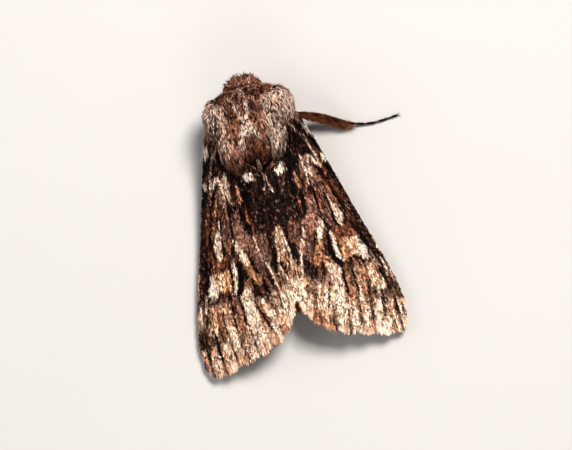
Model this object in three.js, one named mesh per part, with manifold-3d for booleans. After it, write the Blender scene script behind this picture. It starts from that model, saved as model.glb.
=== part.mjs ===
// A life-size owlet moth at rest with its wings folded like a low roof.
//
// Frame: millimetres, +Z up, the head towards +Y, the moth's right side towards +X.
// The body is laid out about its own mid-plane x = 0 and is then moved so that the
// origin is the centre of its footprint, at the level that its feet stand on.

import * as THREE from "three";
import { mergeVertices } from "three/addons/utils/BufferGeometryUtils.js";
import Module from "manifold-3d";

const wasm = await Module();
wasm.setup();

// ---------------------------------------------------------------- dimensions

const GAP = 0.15; // between neighbouring pieces of the body
const SLIVER = 0.015; // detail finer than this is dropped from a cut solid
const WING_THICK = 0.5; // membrane with its scales, top and bottom
const WING_SPLIT = 0.15; // half the slit between the two forewings
const RIDGE_FRONT = 6.2; // height of the wing roof where it leaves the thorax
const RIDGE_FALL = 0.125; // how fast the ridge sinks towards the tail, per mm
const RIDGE_START = -4; // y of the front of the ridge
const EAVE_REAR = 0.9; // height of the costal edge near the wing tip
const EAVE_RISE = 3.8; // how much higher that edge is at the shoulder
const EAVE_REACH = 5; // length over which it comes down
const ROOF_POWER = 1.5; // 1 is a flat roof, 2 a round one
const SCALLOPS = 7; // lobes of the outer margin, one between each two veins
const SCALLOP_DEPTH = 0.11;
const SCALLOP_START = 0.9; // share of the wing's length where the scallops begin
const WING_LENGTH = 20;
const HINDWING_DROP = WING_THICK + 0.3; // from the forewing's top to the hindwing's
const UNDER_ROOF_DEPTH = 3; // of the space that the forewings roof over
const FAR = 30; // beyond the moth in every direction

// ------------------------------------------------------------ solid geometry

// A three.js geometry as a manifold-3d solid.
function solidOf(geometry) {
  const bare = geometry.clone();
  bare.deleteAttribute("normal");
  bare.deleteAttribute("uv");
  const merged = mergeVertices(bare, 1e-4);
  const mesh = new wasm.Mesh({
    numProp: 3,
    vertProperties: new Float32Array(merged.attributes.position.array),
    triVerts: new Uint32Array(merged.index.array),
  });
  return new wasm.Manifold(mesh);
}

// A manifold-3d solid as a three.js geometry, without the slivers that cuts leave along
// their edges and without loose crumbs.
function geometryOf(solid) {
  const bodies = solid.asOriginal().simplify(SLIVER).decompose();
  bodies.sort((a, b) => b.volume() - a.volume());
  const mesh = bodies[0].getMesh();
  const count = mesh.vertProperties.length / mesh.numProp;
  const places = new Float32Array(count * 3);
  for (let i = 0; i < count; i++) {
    const start = i * mesh.numProp;
    places.set(mesh.vertProperties.subarray(start, start + 3), i * 3);
  }
  return new THREE.BufferGeometry()
    .setAttribute("position", new THREE.BufferAttribute(places, 3))
    .setIndex(new THREE.BufferAttribute(new Uint32Array(mesh.triVerts), 1));
}

// Moves every vertex of a geometry to where place(x, y, z) puts it.
function reshape(geometry, place) {
  const position = geometry.attributes.position;
  for (let i = 0; i < position.count; i++) {
    const to = place(position.getX(i), position.getY(i), position.getZ(i));
    position.setXYZ(i, to.x, to.y, to.z);
  }
  return geometry;
}

// An ellipsoid, from its centre and its three radii, grown on every side by extra.
// narrow pinches the part under the centre, as a moth's breast is keel-shaped.
function ellipsoid(centre, radii, { extra = 0, narrow = 0, around = 20, down = 12 } = {}) {
  const ball = new THREE.SphereGeometry(1, around, down);
  ball.rotateX(Math.PI / 2);
  return solidOf(
    reshape(ball, (x, y, z) => {
      const pinch = 1 - narrow * Math.max(0, -z);
      return new THREE.Vector3(
        centre[0] + x * pinch * (radii[0] + extra),
        centre[1] + y * (radii[1] + extra),
        centre[2] + z * (radii[2] + extra),
      );
    }),
  );
}

// A round bar along part of a curve, from parameter start to end. radius(s) gives its
// radius at s from 0 to 1, and extra is added to it.
function bar(curve, start, end, radius, { extra = 0, sides = 8, steps = 8 } = {}) {
  const up = new THREE.Vector3(0, 0, 1);
  const rod = new THREE.CylinderGeometry(1, 1, 1, sides, steps);
  return solidOf(
    reshape(rod, (x, y, z) => {
      const s = y + 0.5;
      const t = start + (end - start) * s;
      const tangent = curve.getTangent(t);
      const side = new THREE.Vector3().crossVectors(tangent, up).normalize();
      const over = new THREE.Vector3().crossVectors(side, tangent);
      const r = radius(s) + extra;
      return curve
        .getPoint(t)
        .addScaledVector(side, x * r)
        .addScaledVector(over, z * r);
    }),
  );
}

function block(low, high) {
  const size = [0, 1, 2].map((i) => high[i] - low[i]);
  const box = new THREE.BoxGeometry(...size);
  box.translate(...[0, 1, 2].map((i) => (high[i] + low[i]) / 2));
  return solidOf(box);
}

// ------------------------------------------------------------- the wing roof

const plan = (...points) => new THREE.SplineCurve(points.map((p) => new THREE.Vector2(...p)));

// The right forewing seen from above.
const wingPlan = {
  costa: plan([3.7, 0.3], [5.35, -4.4], [6.95, -9.8], [8.2, -14], [8.9, -17.3], [8.75, -19.75]),
  inner: plan(
    [3.2, -0.4],
    [2.5, -2.6],
    [1, -4.1],
    [WING_SPLIT, -5.4],
    [WING_SPLIT, -10.5],
    [WING_SPLIT, -15.7],
  ),
  termen: plan(
    [WING_SPLIT, -15.7],
    [0.75, -17],
    [1.9, -18.3],
    [3.6, -19.3],
    [6, -20],
    [7.8, -20.4],
    [8.75, -19.75],
  ),
};

// Half the width of the roof at y, read from the costal edge.
const costaSamples = wingPlan.costa.getPoints(80);
function roofHalfWidth(y) {
  const next = costaSamples.findIndex((p) => p.y <= y);
  if (next < 0) return costaSamples.at(-1).x;
  if (next === 0) return costaSamples[0].x;
  const [from, to] = [costaSamples[next - 1], costaSamples[next]];
  return THREE.MathUtils.mapLinear(y, from.y, to.y, from.x, to.x);
}

function roofHeight(x, y) {
  const ridge = RIDGE_FRONT + RIDGE_FALL * (y - RIDGE_START);
  const eave = EAVE_REAR + EAVE_RISE * Math.exp(Math.min(y, 1) / EAVE_REACH);
  const across = Math.min(1, Math.abs(x) / roofHalfWidth(y));
  return eave + (ridge - eave) * (1 - across ** ROOF_POWER);
}

// The point of the wing's top at a across it, 0 at the inner edge and 1 at the costa,
// and b along it, 0 at the root and 1 at the outer margin: a Coons patch in plan.
function wingPlace(a, b) {
  const { costa, inner, termen } = wingPlan;
  const root = inner.getPointAt(0).lerp(costa.getPointAt(0), a);
  const along = inner.getPointAt(b).lerp(costa.getPointAt(b), a);
  const ends = root.clone().lerp(termen.getPointAt(a), b);
  const innerEnds = inner.getPointAt(0).lerp(inner.getPointAt(1), b);
  const costaEnds = costa.getPointAt(0).lerp(costa.getPointAt(1), b);
  const corners = innerEnds.lerp(costaEnds, a);
  return along.add(ends).sub(corners);
}

function roofNormal(x, y) {
  const d = 0.05;
  const slopeX = (roofHeight(x + d, y) - roofHeight(x - d, y)) / (2 * d);
  const slopeY = (roofHeight(x, y + d) - roofHeight(x, y - d)) / (2 * d);
  return new THREE.Vector3(-slopeX, -slopeY, 1).normalize();
}

// A slab that follows the roof, from above it to below it. reach(a, b) says which part
// of the wing plan the slab covers.
function roofSlab(across, along, above, below, reach) {
  const sheet = new THREE.BoxGeometry(1, 1, 1, across, along, 1);
  return solidOf(
    reshape(sheet, (x, y, z) => {
      const [a, b] = reach(x + 0.5, 0.5 - y);
      const p = wingPlace(a, b);
      const from = new THREE.Vector3(p.x, p.y, roofHeight(p.x, p.y));
      return from.addScaledVector(roofNormal(p.x, p.y), z > 0 ? above : -below);
    }),
  );
}

// The outer margin is drawn in a little at each vein, towards the end of the wing.
function scalloped(a, b) {
  const wave = Math.abs(Math.sin(Math.PI * SCALLOPS * a));
  const near = Math.max(0, (b - SCALLOP_START) / (1 - SCALLOP_START));
  return [a, b - near * (SCALLOP_DEPTH / WING_LENGTH) * (1 - wave)];
}

// The hindwing lies folded under the forewing and ends short of it, in a round margin.
// Its sizes are shares of the forewing's width and length.
const HINDWING = { inner: 0.07, width: 0.73, root: 0.18, end: 0.86, roundness: 0.3, middle: 0.45 };
function hindwingReach(a, b) {
  const { inner, width, root, end, roundness, middle } = HINDWING;
  const reach = end - roundness * (a - middle) ** 2;
  return [inner + width * a, root + (reach - root) * b];
}

const FOREWING_GRID = [28, 9]; // steps across and along
const HINDWING_GRID = [12, 8];
const forewing = roofSlab(...FOREWING_GRID, 0, WING_THICK, scalloped);
const hindwing = roofSlab(
  ...HINDWING_GRID,
  -HINDWING_DROP,
  HINDWING_DROP + WING_THICK,
  hindwingReach,
);
// What the shoulder flap lies on.
const underRoof = roofSlab(...FOREWING_GRID, 2 * GAP, UNDER_ROOF_DEPTH, scalloped);

// ---------------------------------------------------------- thorax and head

const THORAX = { centre: [0, -1.3, 4.1], radii: [3.25, 3.1, 3.3], narrow: 0.25, down: 16 };
const TEGULA = { centre: [2.4, -0.8, 5.0], radii: [1.6, 3.4, 2.1] };
const CREST = { centre: [0, -2.55, 6.35], radii: [0.85, 1.6, 0.95] };
const COLLAR = { centre: [0, 1.45, 4.8], radii: [2.85, 1.1, 2.3] };
const HEAD = { centre: [0, 2.35, 3.8], radii: [1.65, 1.25, 1.65], around: 16, down: 10 };
const EYE = { centre: [1.03, 2.5, 3.38], radius: 0.64 };
const COLLAR_LEVEL = 3.2;

const grown = (shape, extra) => ellipsoid(shape.centre, shape.radii, { ...shape, extra });

const curveOf = (...points) =>
  new THREE.CatmullRomCurve3(points.map((p) => new THREE.Vector3(...p)), false, "centripetal");

// A feeler runs over the eye, down behind it and back under the wing's costal edge.
const feelerRoute = curveOf(
  [0.7, 2.65, 4.3],
  [1.1, 2.85, 4.4],
  [1.55, 2.7, 4.3],
  [2.0, 2.25, 3.75],
  [2.5, 1.6, 3.2],
  [3.35, 0.45, 2.95],
  [4.0, -1.2, 2.7],
  [4.6, -3.2, 2.0],
  [5.2, -5.4, 1.2],
  [5.6, -7.6, 0.95],
);
const feelerRadius = (s) => 0.31 - 0.05 * s;
const feelerForm = { sides: 6, steps: 22 };
const feeler = bar(feelerRoute, 0, 1, feelerRadius, feelerForm);
const feelerSpace = bar(feelerRoute, 0, 1, feelerRadius, { ...feelerForm, extra: GAP });

const palpRoute = curveOf([0.45, 2.55, 1.85], [0.47, 3.2, 2.2], [0.46, 3.4, 2.8], [0.44, 3.4, 3.3]);
const palpRadius = (s) => 0.3 - 0.08 * s * s;
const palpForm = { steps: 6 };
const palp = bar(palpRoute, 0, 1, palpRadius, palpForm);
const palpSpace = bar(palpRoute, 0, 1, palpRadius, { ...palpForm, extra: GAP });

const mirrored = (solid) => solid.mirror([1, 0, 0]);
const both = (solid) => [solid, mirrored(solid)];
const cut = (solid, ...spaces) => spaces.reduce((left, space) => left.subtract(space), solid);
const balls = { around: 14, down: 8 };
const eyeBall = (extra) => ellipsoid(EYE.centre, Array(3).fill(EYE.radius), { ...balls, extra });

const thoraxSpace = grown(THORAX, GAP);
const thorax = cut(grown(THORAX, 0), ...both(feelerSpace));
const tegulaSpace = grown(TEGULA, GAP);
const tegula = cut(
  grown(TEGULA, 0),
  thoraxSpace,
  underRoof,
  underRoof.translate([0, GAP, 0]),
  feelerSpace,
  block([-FAR, -FAR, -FAR], [GAP / 2, FAR, FAR]), // the two flaps don't meet over the back
);
const crest = cut(grown(CREST, 0), thoraxSpace, ...both(tegulaSpace));
const head = cut(
  grown(HEAD, 0),
  thoraxSpace,
  ...both(eyeBall(GAP)),
  ...both(palpSpace),
  ...both(feelerSpace),
);
const collar = cut(
  grown(COLLAR, 0),
  thoraxSpace,
  grown(HEAD, GAP),
  ...both(tegulaSpace),
  ...both(feelerSpace),
  ...both(eyeBall(GAP)),
  block([-FAR, -FAR, -FAR], [FAR, FAR, COLLAR_LEVEL]), // it covers only the back of the neck
);

// ------------------------------------------------------------------- abdomen

const ABDOMEN = {
  front: -4.3,
  rear: -15.2,
  z: 2.65,
  zRear: 2.2,
  rings: 8,
  waist: 1.2, // radius where it joins the thorax
  swell: 0.75, // what the middle adds to that
  taper: 0.45, // share of the radius lost by the tail
  ringDepth: 0.05, // share of the radius lost at a ring's rear edge
};
const TAIL_TUFT = { centre: [0, -15.2, 2.15], radii: [1.0, 0.95, 0.65] };

// The abdomen's radius at s along it, 0 at the waist: it swells, then tapers, and each
// ring is drawn in at its rear edge.
function abdomenRadius(s) {
  const { waist, swell, taper, rings, ringDepth } = ABDOMEN;
  const round = waist + swell * Math.sin(Math.PI * Math.min(1, s * 1.25) ** 0.8);
  const ring = 1 - ringDepth * (1 - Math.abs(Math.sin(Math.PI * rings * s)));
  return round * (1 - taper * s ** 3) * ring;
}
const abdomenRoute = curveOf(
  [0, ABDOMEN.front, ABDOMEN.z],
  [0, (ABDOMEN.front + ABDOMEN.rear) / 2, (ABDOMEN.z + ABDOMEN.zRear) / 2],
  [0, ABDOMEN.rear, ABDOMEN.zRear],
);
const FLATTEN = 0.8; // height over width
const flatten = (solid, z) => solid.translate([0, 0, -z]).scale([1, 1, FLATTEN]).translate([0, 0, z]);
const abdomenBar = (extra) =>
  flatten(bar(abdomenRoute, 0, 1, abdomenRadius, { sides: 16, steps: 24, extra }), ABDOMEN.z);
const abdomen = cut(abdomenBar(0), thoraxSpace);
const tuft = cut(
  ellipsoid(TAIL_TUFT.centre, TAIL_TUFT.radii, balls),
  abdomenBar(GAP),
  block([-FAR, ABDOMEN.rear - GAP, -FAR], [FAR, FAR, FAR]),
);

// ---------------------------------------------------------------------- legs

// Each leg is one curve through its hip, knee and ankle to the tip of its foot, which
// lies along the floor. Points between the joints only keep the stretches straight.
const FOOT_LEVEL = 0.22; // height of a foot's middle, less than its radius: it has a flat
const foreleg = [
  [1.5, 0.9, 1.9],
  [2.1, 0.95, 2.05],
  [2.55, 1.2, 1.95],
  [2.3, 1.8, 1.2],
  [1.95, 2.2, 0.55],
  [1.5, 2.75, FOOT_LEVEL],
  [1.1, 3.3, FOOT_LEVEL],
];
const tuckedMidleg = [
  [1.8, -0.9, 1.9],
  [2.7, -0.7, 2.35],
  [3.45, -0.9, 2.35],
  [4.1, -2.6, 1.6],
  [4.5, -4.2, 0.75],
  [4.55, -6.2, FOOT_LEVEL],
  [4.6, -8.6, FOOT_LEVEL],
];
const spreadMidleg = [
  [1.8, -0.9, 1.9],
  [2.8, -0.55, 2.3],
  [3.9, -0.6, 2.3],
  [5.8, -1.3, 1.6],
  [7.7, -2.25, 0.7],
  [9.7, -2.8, FOOT_LEVEL],
  [12.1, -2.7, FOOT_LEVEL],
];
const hindleg = [
  [1.4, -3.0, 1.8],
  [2.3, -3.9, 2.0],
  [2.95, -4.9, 1.9],
  [3.15, -7.3, 1.3],
  [3.3, -9.6, 0.65],
  [3.7, -11.6, FOOT_LEVEL],
  [4.2, -13.8, FOOT_LEVEL],
];
const otherSide = (points) => points.map(([x, y, z]) => [-x, y, z]);
const legs = {
  foreleg_left: otherSide(foreleg),
  foreleg_right: foreleg,
  midleg_left: otherSide(tuckedMidleg),
  midleg_right: spreadMidleg,
  hindleg_left: otherSide(hindleg),
  hindleg_right: hindleg,
};
const legParts = [
  { name: "femur", from: 0, to: 2, radius: (s) => 0.42 - 0.1 * s, steps: 5 },
  { name: "tibia", from: 2, to: 4, radius: (s) => 0.3 + 0.14 * Math.sin(Math.PI * s), steps: 6 },
  { name: "tarsus", from: 4, to: 6, radius: () => 0.27, steps: 8 },
];
const belowFloor = block([-FAR, -FAR, -FAR], [FAR, FAR, 0]);
const bodySpaces = [thoraxSpace, abdomenBar(GAP)];

function legPart(points, part) {
  const route = curveOf(...points);
  const last = points.length - 1;
  const trim = GAP / 2 / route.getLength();
  const solid = bar(route, part.from / last + trim, part.to / last - trim, part.radius, {
    sides: 8,
    steps: part.steps,
  });
  return cut(solid, belowFloor, ...bodySpaces);
}

// ------------------------------------------------------------- the scene graph

const finish = (colour, roughness) =>
  new THREE.MeshStandardMaterial({ color: colour, roughness, metalness: 0 });
const materials = {
  wing: finish(0x5a4334, 0.75),
  hindwing: finish(0x8a7566, 0.8),
  fur: finish(0x6b5348, 0.95),
  darkFur: finish(0x3c2922, 0.95),
  eye: finish(0x1a1210, 0.2),
  feeler: finish(0x5a3524, 0.7),
  leg: finish(0x4a2e22, 0.85),
};

const moth = new THREE.Group();

function piece(name, solid, material) {
  const mesh = new THREE.Mesh(geometryOf(solid), material);
  mesh.name = name;
  moth.add(mesh);
}

function pair(name, solid, material) {
  piece(`${name}_left`, mirrored(solid), material);
  piece(`${name}_right`, solid, material);
}

piece("thorax", thorax, materials.fur);
piece("thorax_crest", crest, materials.darkFur);
piece("collar", collar, materials.darkFur);
piece("head", head, materials.darkFur);
piece("abdomen", abdomen, materials.fur);
piece("tail_tuft", tuft, materials.darkFur);
pair("tegula", tegula, materials.fur);
pair("eye", eyeBall(0), materials.eye);
pair("palp", palp, materials.darkFur);
pair("antenna", feeler, materials.feeler);
pair("forewing", cut(forewing, thoraxSpace), materials.wing);
pair("hindwing", cut(hindwing, thoraxSpace, abdomenBar(GAP)), materials.hindwing);
for (const [name, points] of Object.entries(legs))
  for (const part of legParts) piece(`${name}_${part.name}`, legPart(points, part), materials.leg);

// The origin goes to the middle of the footprint.
const bounds = new THREE.Box3().setFromObject(moth, true);
const middle = bounds.getCenter(new THREE.Vector3());
moth.position.set(-middle.x, -middle.y, -bounds.min.z);

const part = new THREE.Group();
part.add(moth);
export default part;
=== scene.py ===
# %% [markdown]
# # An owlet moth at rest
#
# This script dresses the plain solids of a life-size moth. The body gets a skin and a
# coat of hair, the wings get thousands of overlapping scales, and the eyes, feelers and
# legs get the small parts that a magnifying glass would show. Sizes are in body
# millimetres: x to the moth's right from its mid-plane, y towards its head, z up from
# the floor. Every mesh is moved to the frame's metres as its last step.

# %% Load the frame
import math
from types import SimpleNamespace

import bpy
import numpy as np
from mathutils import Matrix, Vector


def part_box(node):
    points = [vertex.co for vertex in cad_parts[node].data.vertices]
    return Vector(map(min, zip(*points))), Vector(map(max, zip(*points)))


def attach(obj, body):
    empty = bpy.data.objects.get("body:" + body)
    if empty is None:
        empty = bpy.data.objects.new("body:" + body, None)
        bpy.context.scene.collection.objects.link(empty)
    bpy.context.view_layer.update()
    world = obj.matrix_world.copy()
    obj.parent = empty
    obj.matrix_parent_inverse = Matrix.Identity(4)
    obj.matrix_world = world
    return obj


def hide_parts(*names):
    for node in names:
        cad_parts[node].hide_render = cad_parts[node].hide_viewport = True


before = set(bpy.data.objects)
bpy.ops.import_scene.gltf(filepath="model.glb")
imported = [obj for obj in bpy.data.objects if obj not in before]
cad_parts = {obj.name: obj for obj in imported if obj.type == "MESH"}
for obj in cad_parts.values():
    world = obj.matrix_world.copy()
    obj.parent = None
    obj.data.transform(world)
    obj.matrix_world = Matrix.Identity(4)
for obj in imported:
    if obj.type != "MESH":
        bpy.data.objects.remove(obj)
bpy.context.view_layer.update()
MM = 0.001
thorax_low, thorax_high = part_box("thorax")
THORAX_MIDDLE_Y = -1.3  # in body millimetres
BODY_ORIGIN = Vector(
    (
        (thorax_low.x + thorax_high.x) / 2,
        (thorax_low.y + thorax_high.y) / 2 - THORAX_MIDDLE_Y * MM,
        0,
    )
)
TO_FRAME = Matrix.Translation(BODY_ORIGIN) @ Matrix.Scale(MM, 4)
SIDES = {"left": -1, "right": 1}
print("frame nodes:", len(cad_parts), "body origin:", [round(v, 5) for v in BODY_ORIGIN])

# %% [markdown]
# ## Helpers for meshes
#
# A mesh is made from arrays of points and faces. What a material or a coat needs to know
# about a point, such as its colour or the way its hair lies, is kept on the mesh as a
# named attribute. Painting and combing by hand would do the same, but arrays can be
# worked out for a hundred thousand points at once.


# %% Mesh helpers
def put_in_scene(name, data):
    """Makes an object of a mesh, a lamp or a camera."""
    obj = bpy.data.objects.new(name, data)
    bpy.context.scene.collection.objects.link(obj)
    return obj


def make_mesh(name, points, faces=(), edges=()):
    mesh = bpy.data.meshes.new(name)
    corners = faces.tolist() if isinstance(faces, np.ndarray) else faces
    mesh.from_pydata(np.asarray(points).tolist(), edges, corners)
    mesh.update()
    return put_in_scene(name, mesh)


def joined(forms):
    """Joins forms, each given as its points and its faces, into one list of each."""
    points, faces, start = [], [], 0
    for form_points, form_faces in forms:
        points.append(form_points)
        faces += [tuple(i + start for i in face) for face in form_faces]
        start += len(form_points)
    return np.concatenate(points), faces


def of_vertices(obj, field):
    """Three numbers for each vertex: its place, co, or its normal."""
    flat = np.empty(len(obj.data.vertices) * 3)
    obj.data.vertices.foreach_get(field, flat)
    return flat.reshape(-1, 3)


def triangles(obj):
    return sum(len(face.vertices) - 2 for face in obj.data.polygons)


# %% [markdown]
# mark stores such an attribute and marked reads it back. OFBake is the map that a
# finished piece carries, with one place for each corner of its faces.

# %% Attributes and maps
VECTOR = "FLOAT_VECTOR"
ATTRIBUTE_FIELDS = {"FLOAT": ("value", 1), VECTOR: ("vector", 3), "FLOAT_COLOR": ("color", 4)}


def mark(obj, name, kind, values):
    """Stores one value for each vertex as a named attribute, in place of an older one."""
    if name in obj.data.attributes:
        obj.data.attributes.remove(obj.data.attributes[name])
    layer = obj.data.attributes.new(name, kind, "POINT")
    layer.data.foreach_set(ATTRIBUTE_FIELDS[kind][0], np.asarray(values, np.float32).ravel())


def marked(obj, name):
    layer = obj.data.attributes[name]
    field, width = ATTRIBUTE_FIELDS[layer.data_type]
    flat = np.empty(len(layer.data) * width, np.float32)
    layer.data.foreach_get(field, flat)
    return flat.reshape(-1, width) if width > 1 else flat


def mark_colour(obj, colours):
    """Stores linear colours, three numbers each, for the finishes to read."""
    colours = np.asarray(colours)
    mark(obj, "pattern", "FLOAT_COLOR", np.hstack([colours, np.ones((len(colours), 1))]))


def corner_vertices(obj):
    corners = np.empty(len(obj.data.loops), np.int64)
    obj.data.loops.foreach_get("vertex_index", corners)
    return corners


def set_uv(obj, corner_uv):
    layer = obj.data.uv_layers.new(name="OFBake")
    layer.data.foreach_set("uv", np.asarray(corner_uv, np.float32).ravel())


# %% [markdown]
# finish_piece is the last step for every piece. It moves the mesh into the frame, makes
# it ride on the one body, and hides the solids that it stands for.

# %% Finishing a piece
FLOOR_GAP = 0.01  # of the lowest hair above the floor


def finish_piece(obj, slot, *nodes, smooth=True):
    points = of_vertices(obj, "co")
    points[:, 2] = np.maximum(points[:, 2], FLOOR_GAP)
    obj.data.vertices.foreach_set("co", points.ravel())
    obj.data.transform(TO_FRAME)
    if smooth:
        obj.data.shade_smooth()
    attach(obj, "root")
    if nodes:
        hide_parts(*nodes)
    print(f"{obj.name}: {triangles(obj)} triangles")


# %% [markdown]
# ## Helpers for shapes and chance
#
# ramp turns a distance into a soft edge from 0 to 1, and speckle is a smooth random
# field with a grain of about one unit. Chance always comes from a fixed seed, so that
# every run gives the same moth.


# %% Shape helpers
def ramp(value, start, end):
    t = np.clip((np.asarray(value, float) - start) / (end - start), 0, 1)
    return t * t * (3 - 2 * t)


def speckle(u, v, seed=0):
    """Smooth noise from 0 to 1 over the plane, with bumps one unit apart."""
    size = 128
    table = np.random.default_rng(seed).random((size, size))
    column = np.floor(u).astype(int)
    row = np.floor(v).astype(int)
    across = ramp(u - column, 0, 1)
    along = ramp(v - row, 0, 1)
    corner = [table[(column + i) % size, (row + j) % size] for i in (0, 1) for j in (0, 1)]
    near = corner[0] * (1 - along) + corner[1] * along
    far = corner[2] * (1 - along) + corner[3] * along
    return near * (1 - across) + far * across


def around(sides):
    """Angles of a full turn."""
    return np.linspace(0, 2 * np.pi, sides, endpoint=False)


def smooth_line(points, count=120):
    """A line through the points that bends evenly."""
    held = np.array([points[0], *points, points[-1]], float)
    t = np.linspace(0, len(points) - 1, count)
    i = np.minimum(t.astype(int), len(points) - 2)
    f = (t - i)[:, None]
    before, here, after, beyond = held[i], held[i + 1], held[i + 2], held[i + 3]
    bend = (2 * before - 5 * here + 4 * after - beyond) * f**2
    twist = (3 * here - before - 3 * after + beyond) * f**3
    return 0.5 * (2 * here + (after - before) * f + bend + twist)


def at_share(line, share):
    """The points at given shares of a line's length."""
    steps = np.linalg.norm(np.diff(line, axis=0), axis=1)
    run = np.concatenate([[0], np.cumsum(steps)]) / steps.sum()
    return np.stack([np.interp(share, run, line[:, k]) for k in range(line.shape[1])], -1)


# %% [markdown]
# ## Helpers for node trees
#
# Both the materials and the coats are node trees. A Bench adds nodes to a tree, with
# their settings and with a value or another node's output for each input. An input that
# the node has several times, such as a Math node's Value, takes a list.


# %% The bench
class Bench:
    def __init__(self, tree):
        self.tree = tree

    def __call__(self, kind, settings=None, **inputs):
        made = self.tree.nodes.new(kind)
        for name, value in (settings or {}).items():
            setattr(made, name, value)
        return self.fill(made, **inputs)

    def fill(self, node, **inputs):
        """Feeds the inputs of a node; a space in an input's name is written as _."""
        for name, value in inputs.items():
            sockets = [s for s in node.inputs if s.name == name.replace("_", " ") and s.enabled]
            values = value if isinstance(value, list) else [value]
            for socket, each in zip(sockets, values, strict=False):
                self.feed(socket, each)
        return node

    def feed(self, socket, value):
        if isinstance(value, bpy.types.Node):
            value = next(s for s in value.outputs if s.enabled)
        if isinstance(value, bpy.types.NodeSocket):
            self.tree.links.new(value, socket)
        else:
            socket.default_value = value

    def math(self, operation, *values):
        return self("ShaderNodeMath", {"operation": operation}, Value=list(values))

    def plus(self, first, second):
        return self.math("ADD", first, second)

    def minus(self, first, second):
        return self.math("SUBTRACT", first, second)

    def times(self, first, second):
        return self.math("MULTIPLY", first, second)

    def vector(self, operation, *values, **more):
        return self("ShaderNodeVectorMath", {"operation": operation}, Vector=list(values), **more)

    def soft_step(self, value, start, end, low=0.0, high=1.0):
        settings = {"interpolation_type": "SMOOTHSTEP"}
        step = self("ShaderNodeMapRange", settings, Value=value, From_Min=start, From_Max=end)
        return self.fill(step, To_Min=low, To_Max=high)

    def blend(self, share, first, second, how="MIX"):
        mix = self("ShaderNodeMix", {"data_type": "RGBA", "blend_type": how, "clamp_result": True})
        self.fill(mix, Factor=share, A=first, B=second)
        return next(s for s in mix.outputs if s.enabled)

    def shaded(self, colour, value):
        """A colour made darker or lighter by a value."""
        grey = self("ShaderNodeCombineColor", Red=value, Green=value, Blue=value)
        return self.blend(1.0, colour, grey, "MULTIPLY")

    def pores(self, scale, detail):
        """Fine cloudy noise that stays with the piece."""
        place = self("ShaderNodeTexCoord").outputs["Object"]
        return self("ShaderNodeTexNoise", Vector=place, Scale=scale, Detail=detail)

    def attribute(self, name, output="Fac"):
        """A named attribute, as a shader reads it."""
        return self("ShaderNodeAttribute", {"attribute_name": name}).outputs[output]


# %% [markdown]
# A material starts as a Principled shader. A tree for Geometry Nodes or for a node group
# starts with its named inputs, and ends in one output.


# %% Starting and ending a tree
NUMBER, COUNT, COLOUR = "NodeSocketFloat", "NodeSocketInt", "NodeSocketColor"
GEOMETRY = ("Geometry", "NodeSocketGeometry")
FINISH = ("Finish", "NodeSocketMaterial")


def new_finish(name):
    """A material, its shader, and a bench to feed the shader from."""
    material = bpy.data.materials.new(name)
    material.use_nodes = True
    tree = material.node_tree
    return material, tree.nodes["Principled BSDF"], Bench(tree)


def new_tree(name, kind, inputs, output):
    """A bench on a new tree, and the sockets that carry the tree's inputs."""
    tree = bpy.data.node_groups.new(name, kind)
    for label, socket_kind, *start in inputs:
        socket = tree.interface.new_socket(label, in_out="INPUT", socket_type=socket_kind)
        if start:
            socket.default_value = start[0]
    tree.interface.new_socket(output[0], in_out="OUTPUT", socket_type=output[1])
    return Bench(tree), tree.nodes.new("NodeGroupInput").outputs


def end_tree(bench, result):
    out = bench.tree.nodes.new("NodeGroupOutput")
    bench.feed(out.inputs[0], result)
    return bench.tree


def end_coat(bench, geometry, given):
    """Makes what a tree has planted real and gives it its finish."""
    return end_tree(bench, bench("GeometryNodeSetMaterial", Geometry=geometry, Material=given["Finish"]))


# %% [markdown]
# run_tree puts a tree on a mesh as a modifier, sets its inputs, and keeps what it makes
# as a plain mesh. The modifier goes again, so that nothing is left to be worked out.


# %% Running a tree
def run_tree(name, tree, carrier, **inputs):
    modifier = carrier.modifiers.new("tree", "NODES")
    modifier.node_group = tree
    for socket in tree.interface.items_tree:
        label = socket.name.replace(" ", "_")
        if socket.in_out == "INPUT" and label in inputs:
            modifier[socket.identifier] = inputs[label]
    view = bpy.context.evaluated_depsgraph_get()
    mesh = bpy.data.meshes.new_from_object(carrier.evaluated_get(view))
    carrier.modifiers.remove(modifier)
    mesh.name = name
    return put_in_scene(name, mesh)


# %% [markdown]
# ## Colours
#
# The moth is coloured with a few earthy tones. They are written as a painter would pick
# them on a screen, out of 255, and are turned into linear light for the materials.


# %% The palette
def tone(*screen):
    c = np.array(screen) / 255
    return np.where(c <= 0.04045, c / 12.92, ((c + 0.055) / 1.055) ** 2.4)


BLACK = tone(7, 4, 3)
SOOT = tone(34, 18, 13)
BROWN = tone(122, 74, 51)
VIOLET = tone(144, 106, 90)
RUST = tone(150, 86, 50)
TAN = tone(196, 140, 102)
PALE = tone(226, 194, 170)
WHITE = tone(242, 223, 205)


def lay(colours, colour, share):
    """Lays a colour over others, as thickly as share says from 0 to 1."""
    return colours + (colour - colours) * np.clip(share, 0, 1)[:, None]


def lay_all(colours, *layers):
    """Lays colours one over another, each given with its share."""
    for colour, share in layers:
        colours = lay(colours, colour, share)
    return colours


# %% [markdown]
# ## Camera and floor
#
# The moth is looked down on, with its head turned a little to the left. The camera hangs
# over a point beside its body, high enough that the tall thorax isn't swollen by
# perspective. The floor is a plain pale sheet, faintly mottled so that it isn't flat.

# %% Camera
LEAN = math.atan2(58, 230)  # how far the body is turned from the view's upright
VIEW_WIDTH = 47.7  # millimetres across the view, at the level of the wings
CAMERA_HEIGHT = 300
WING_LEVEL = 4
SENSOR = 36
LOOK_AT = Vector((0.73, -9.4, 0))

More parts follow.
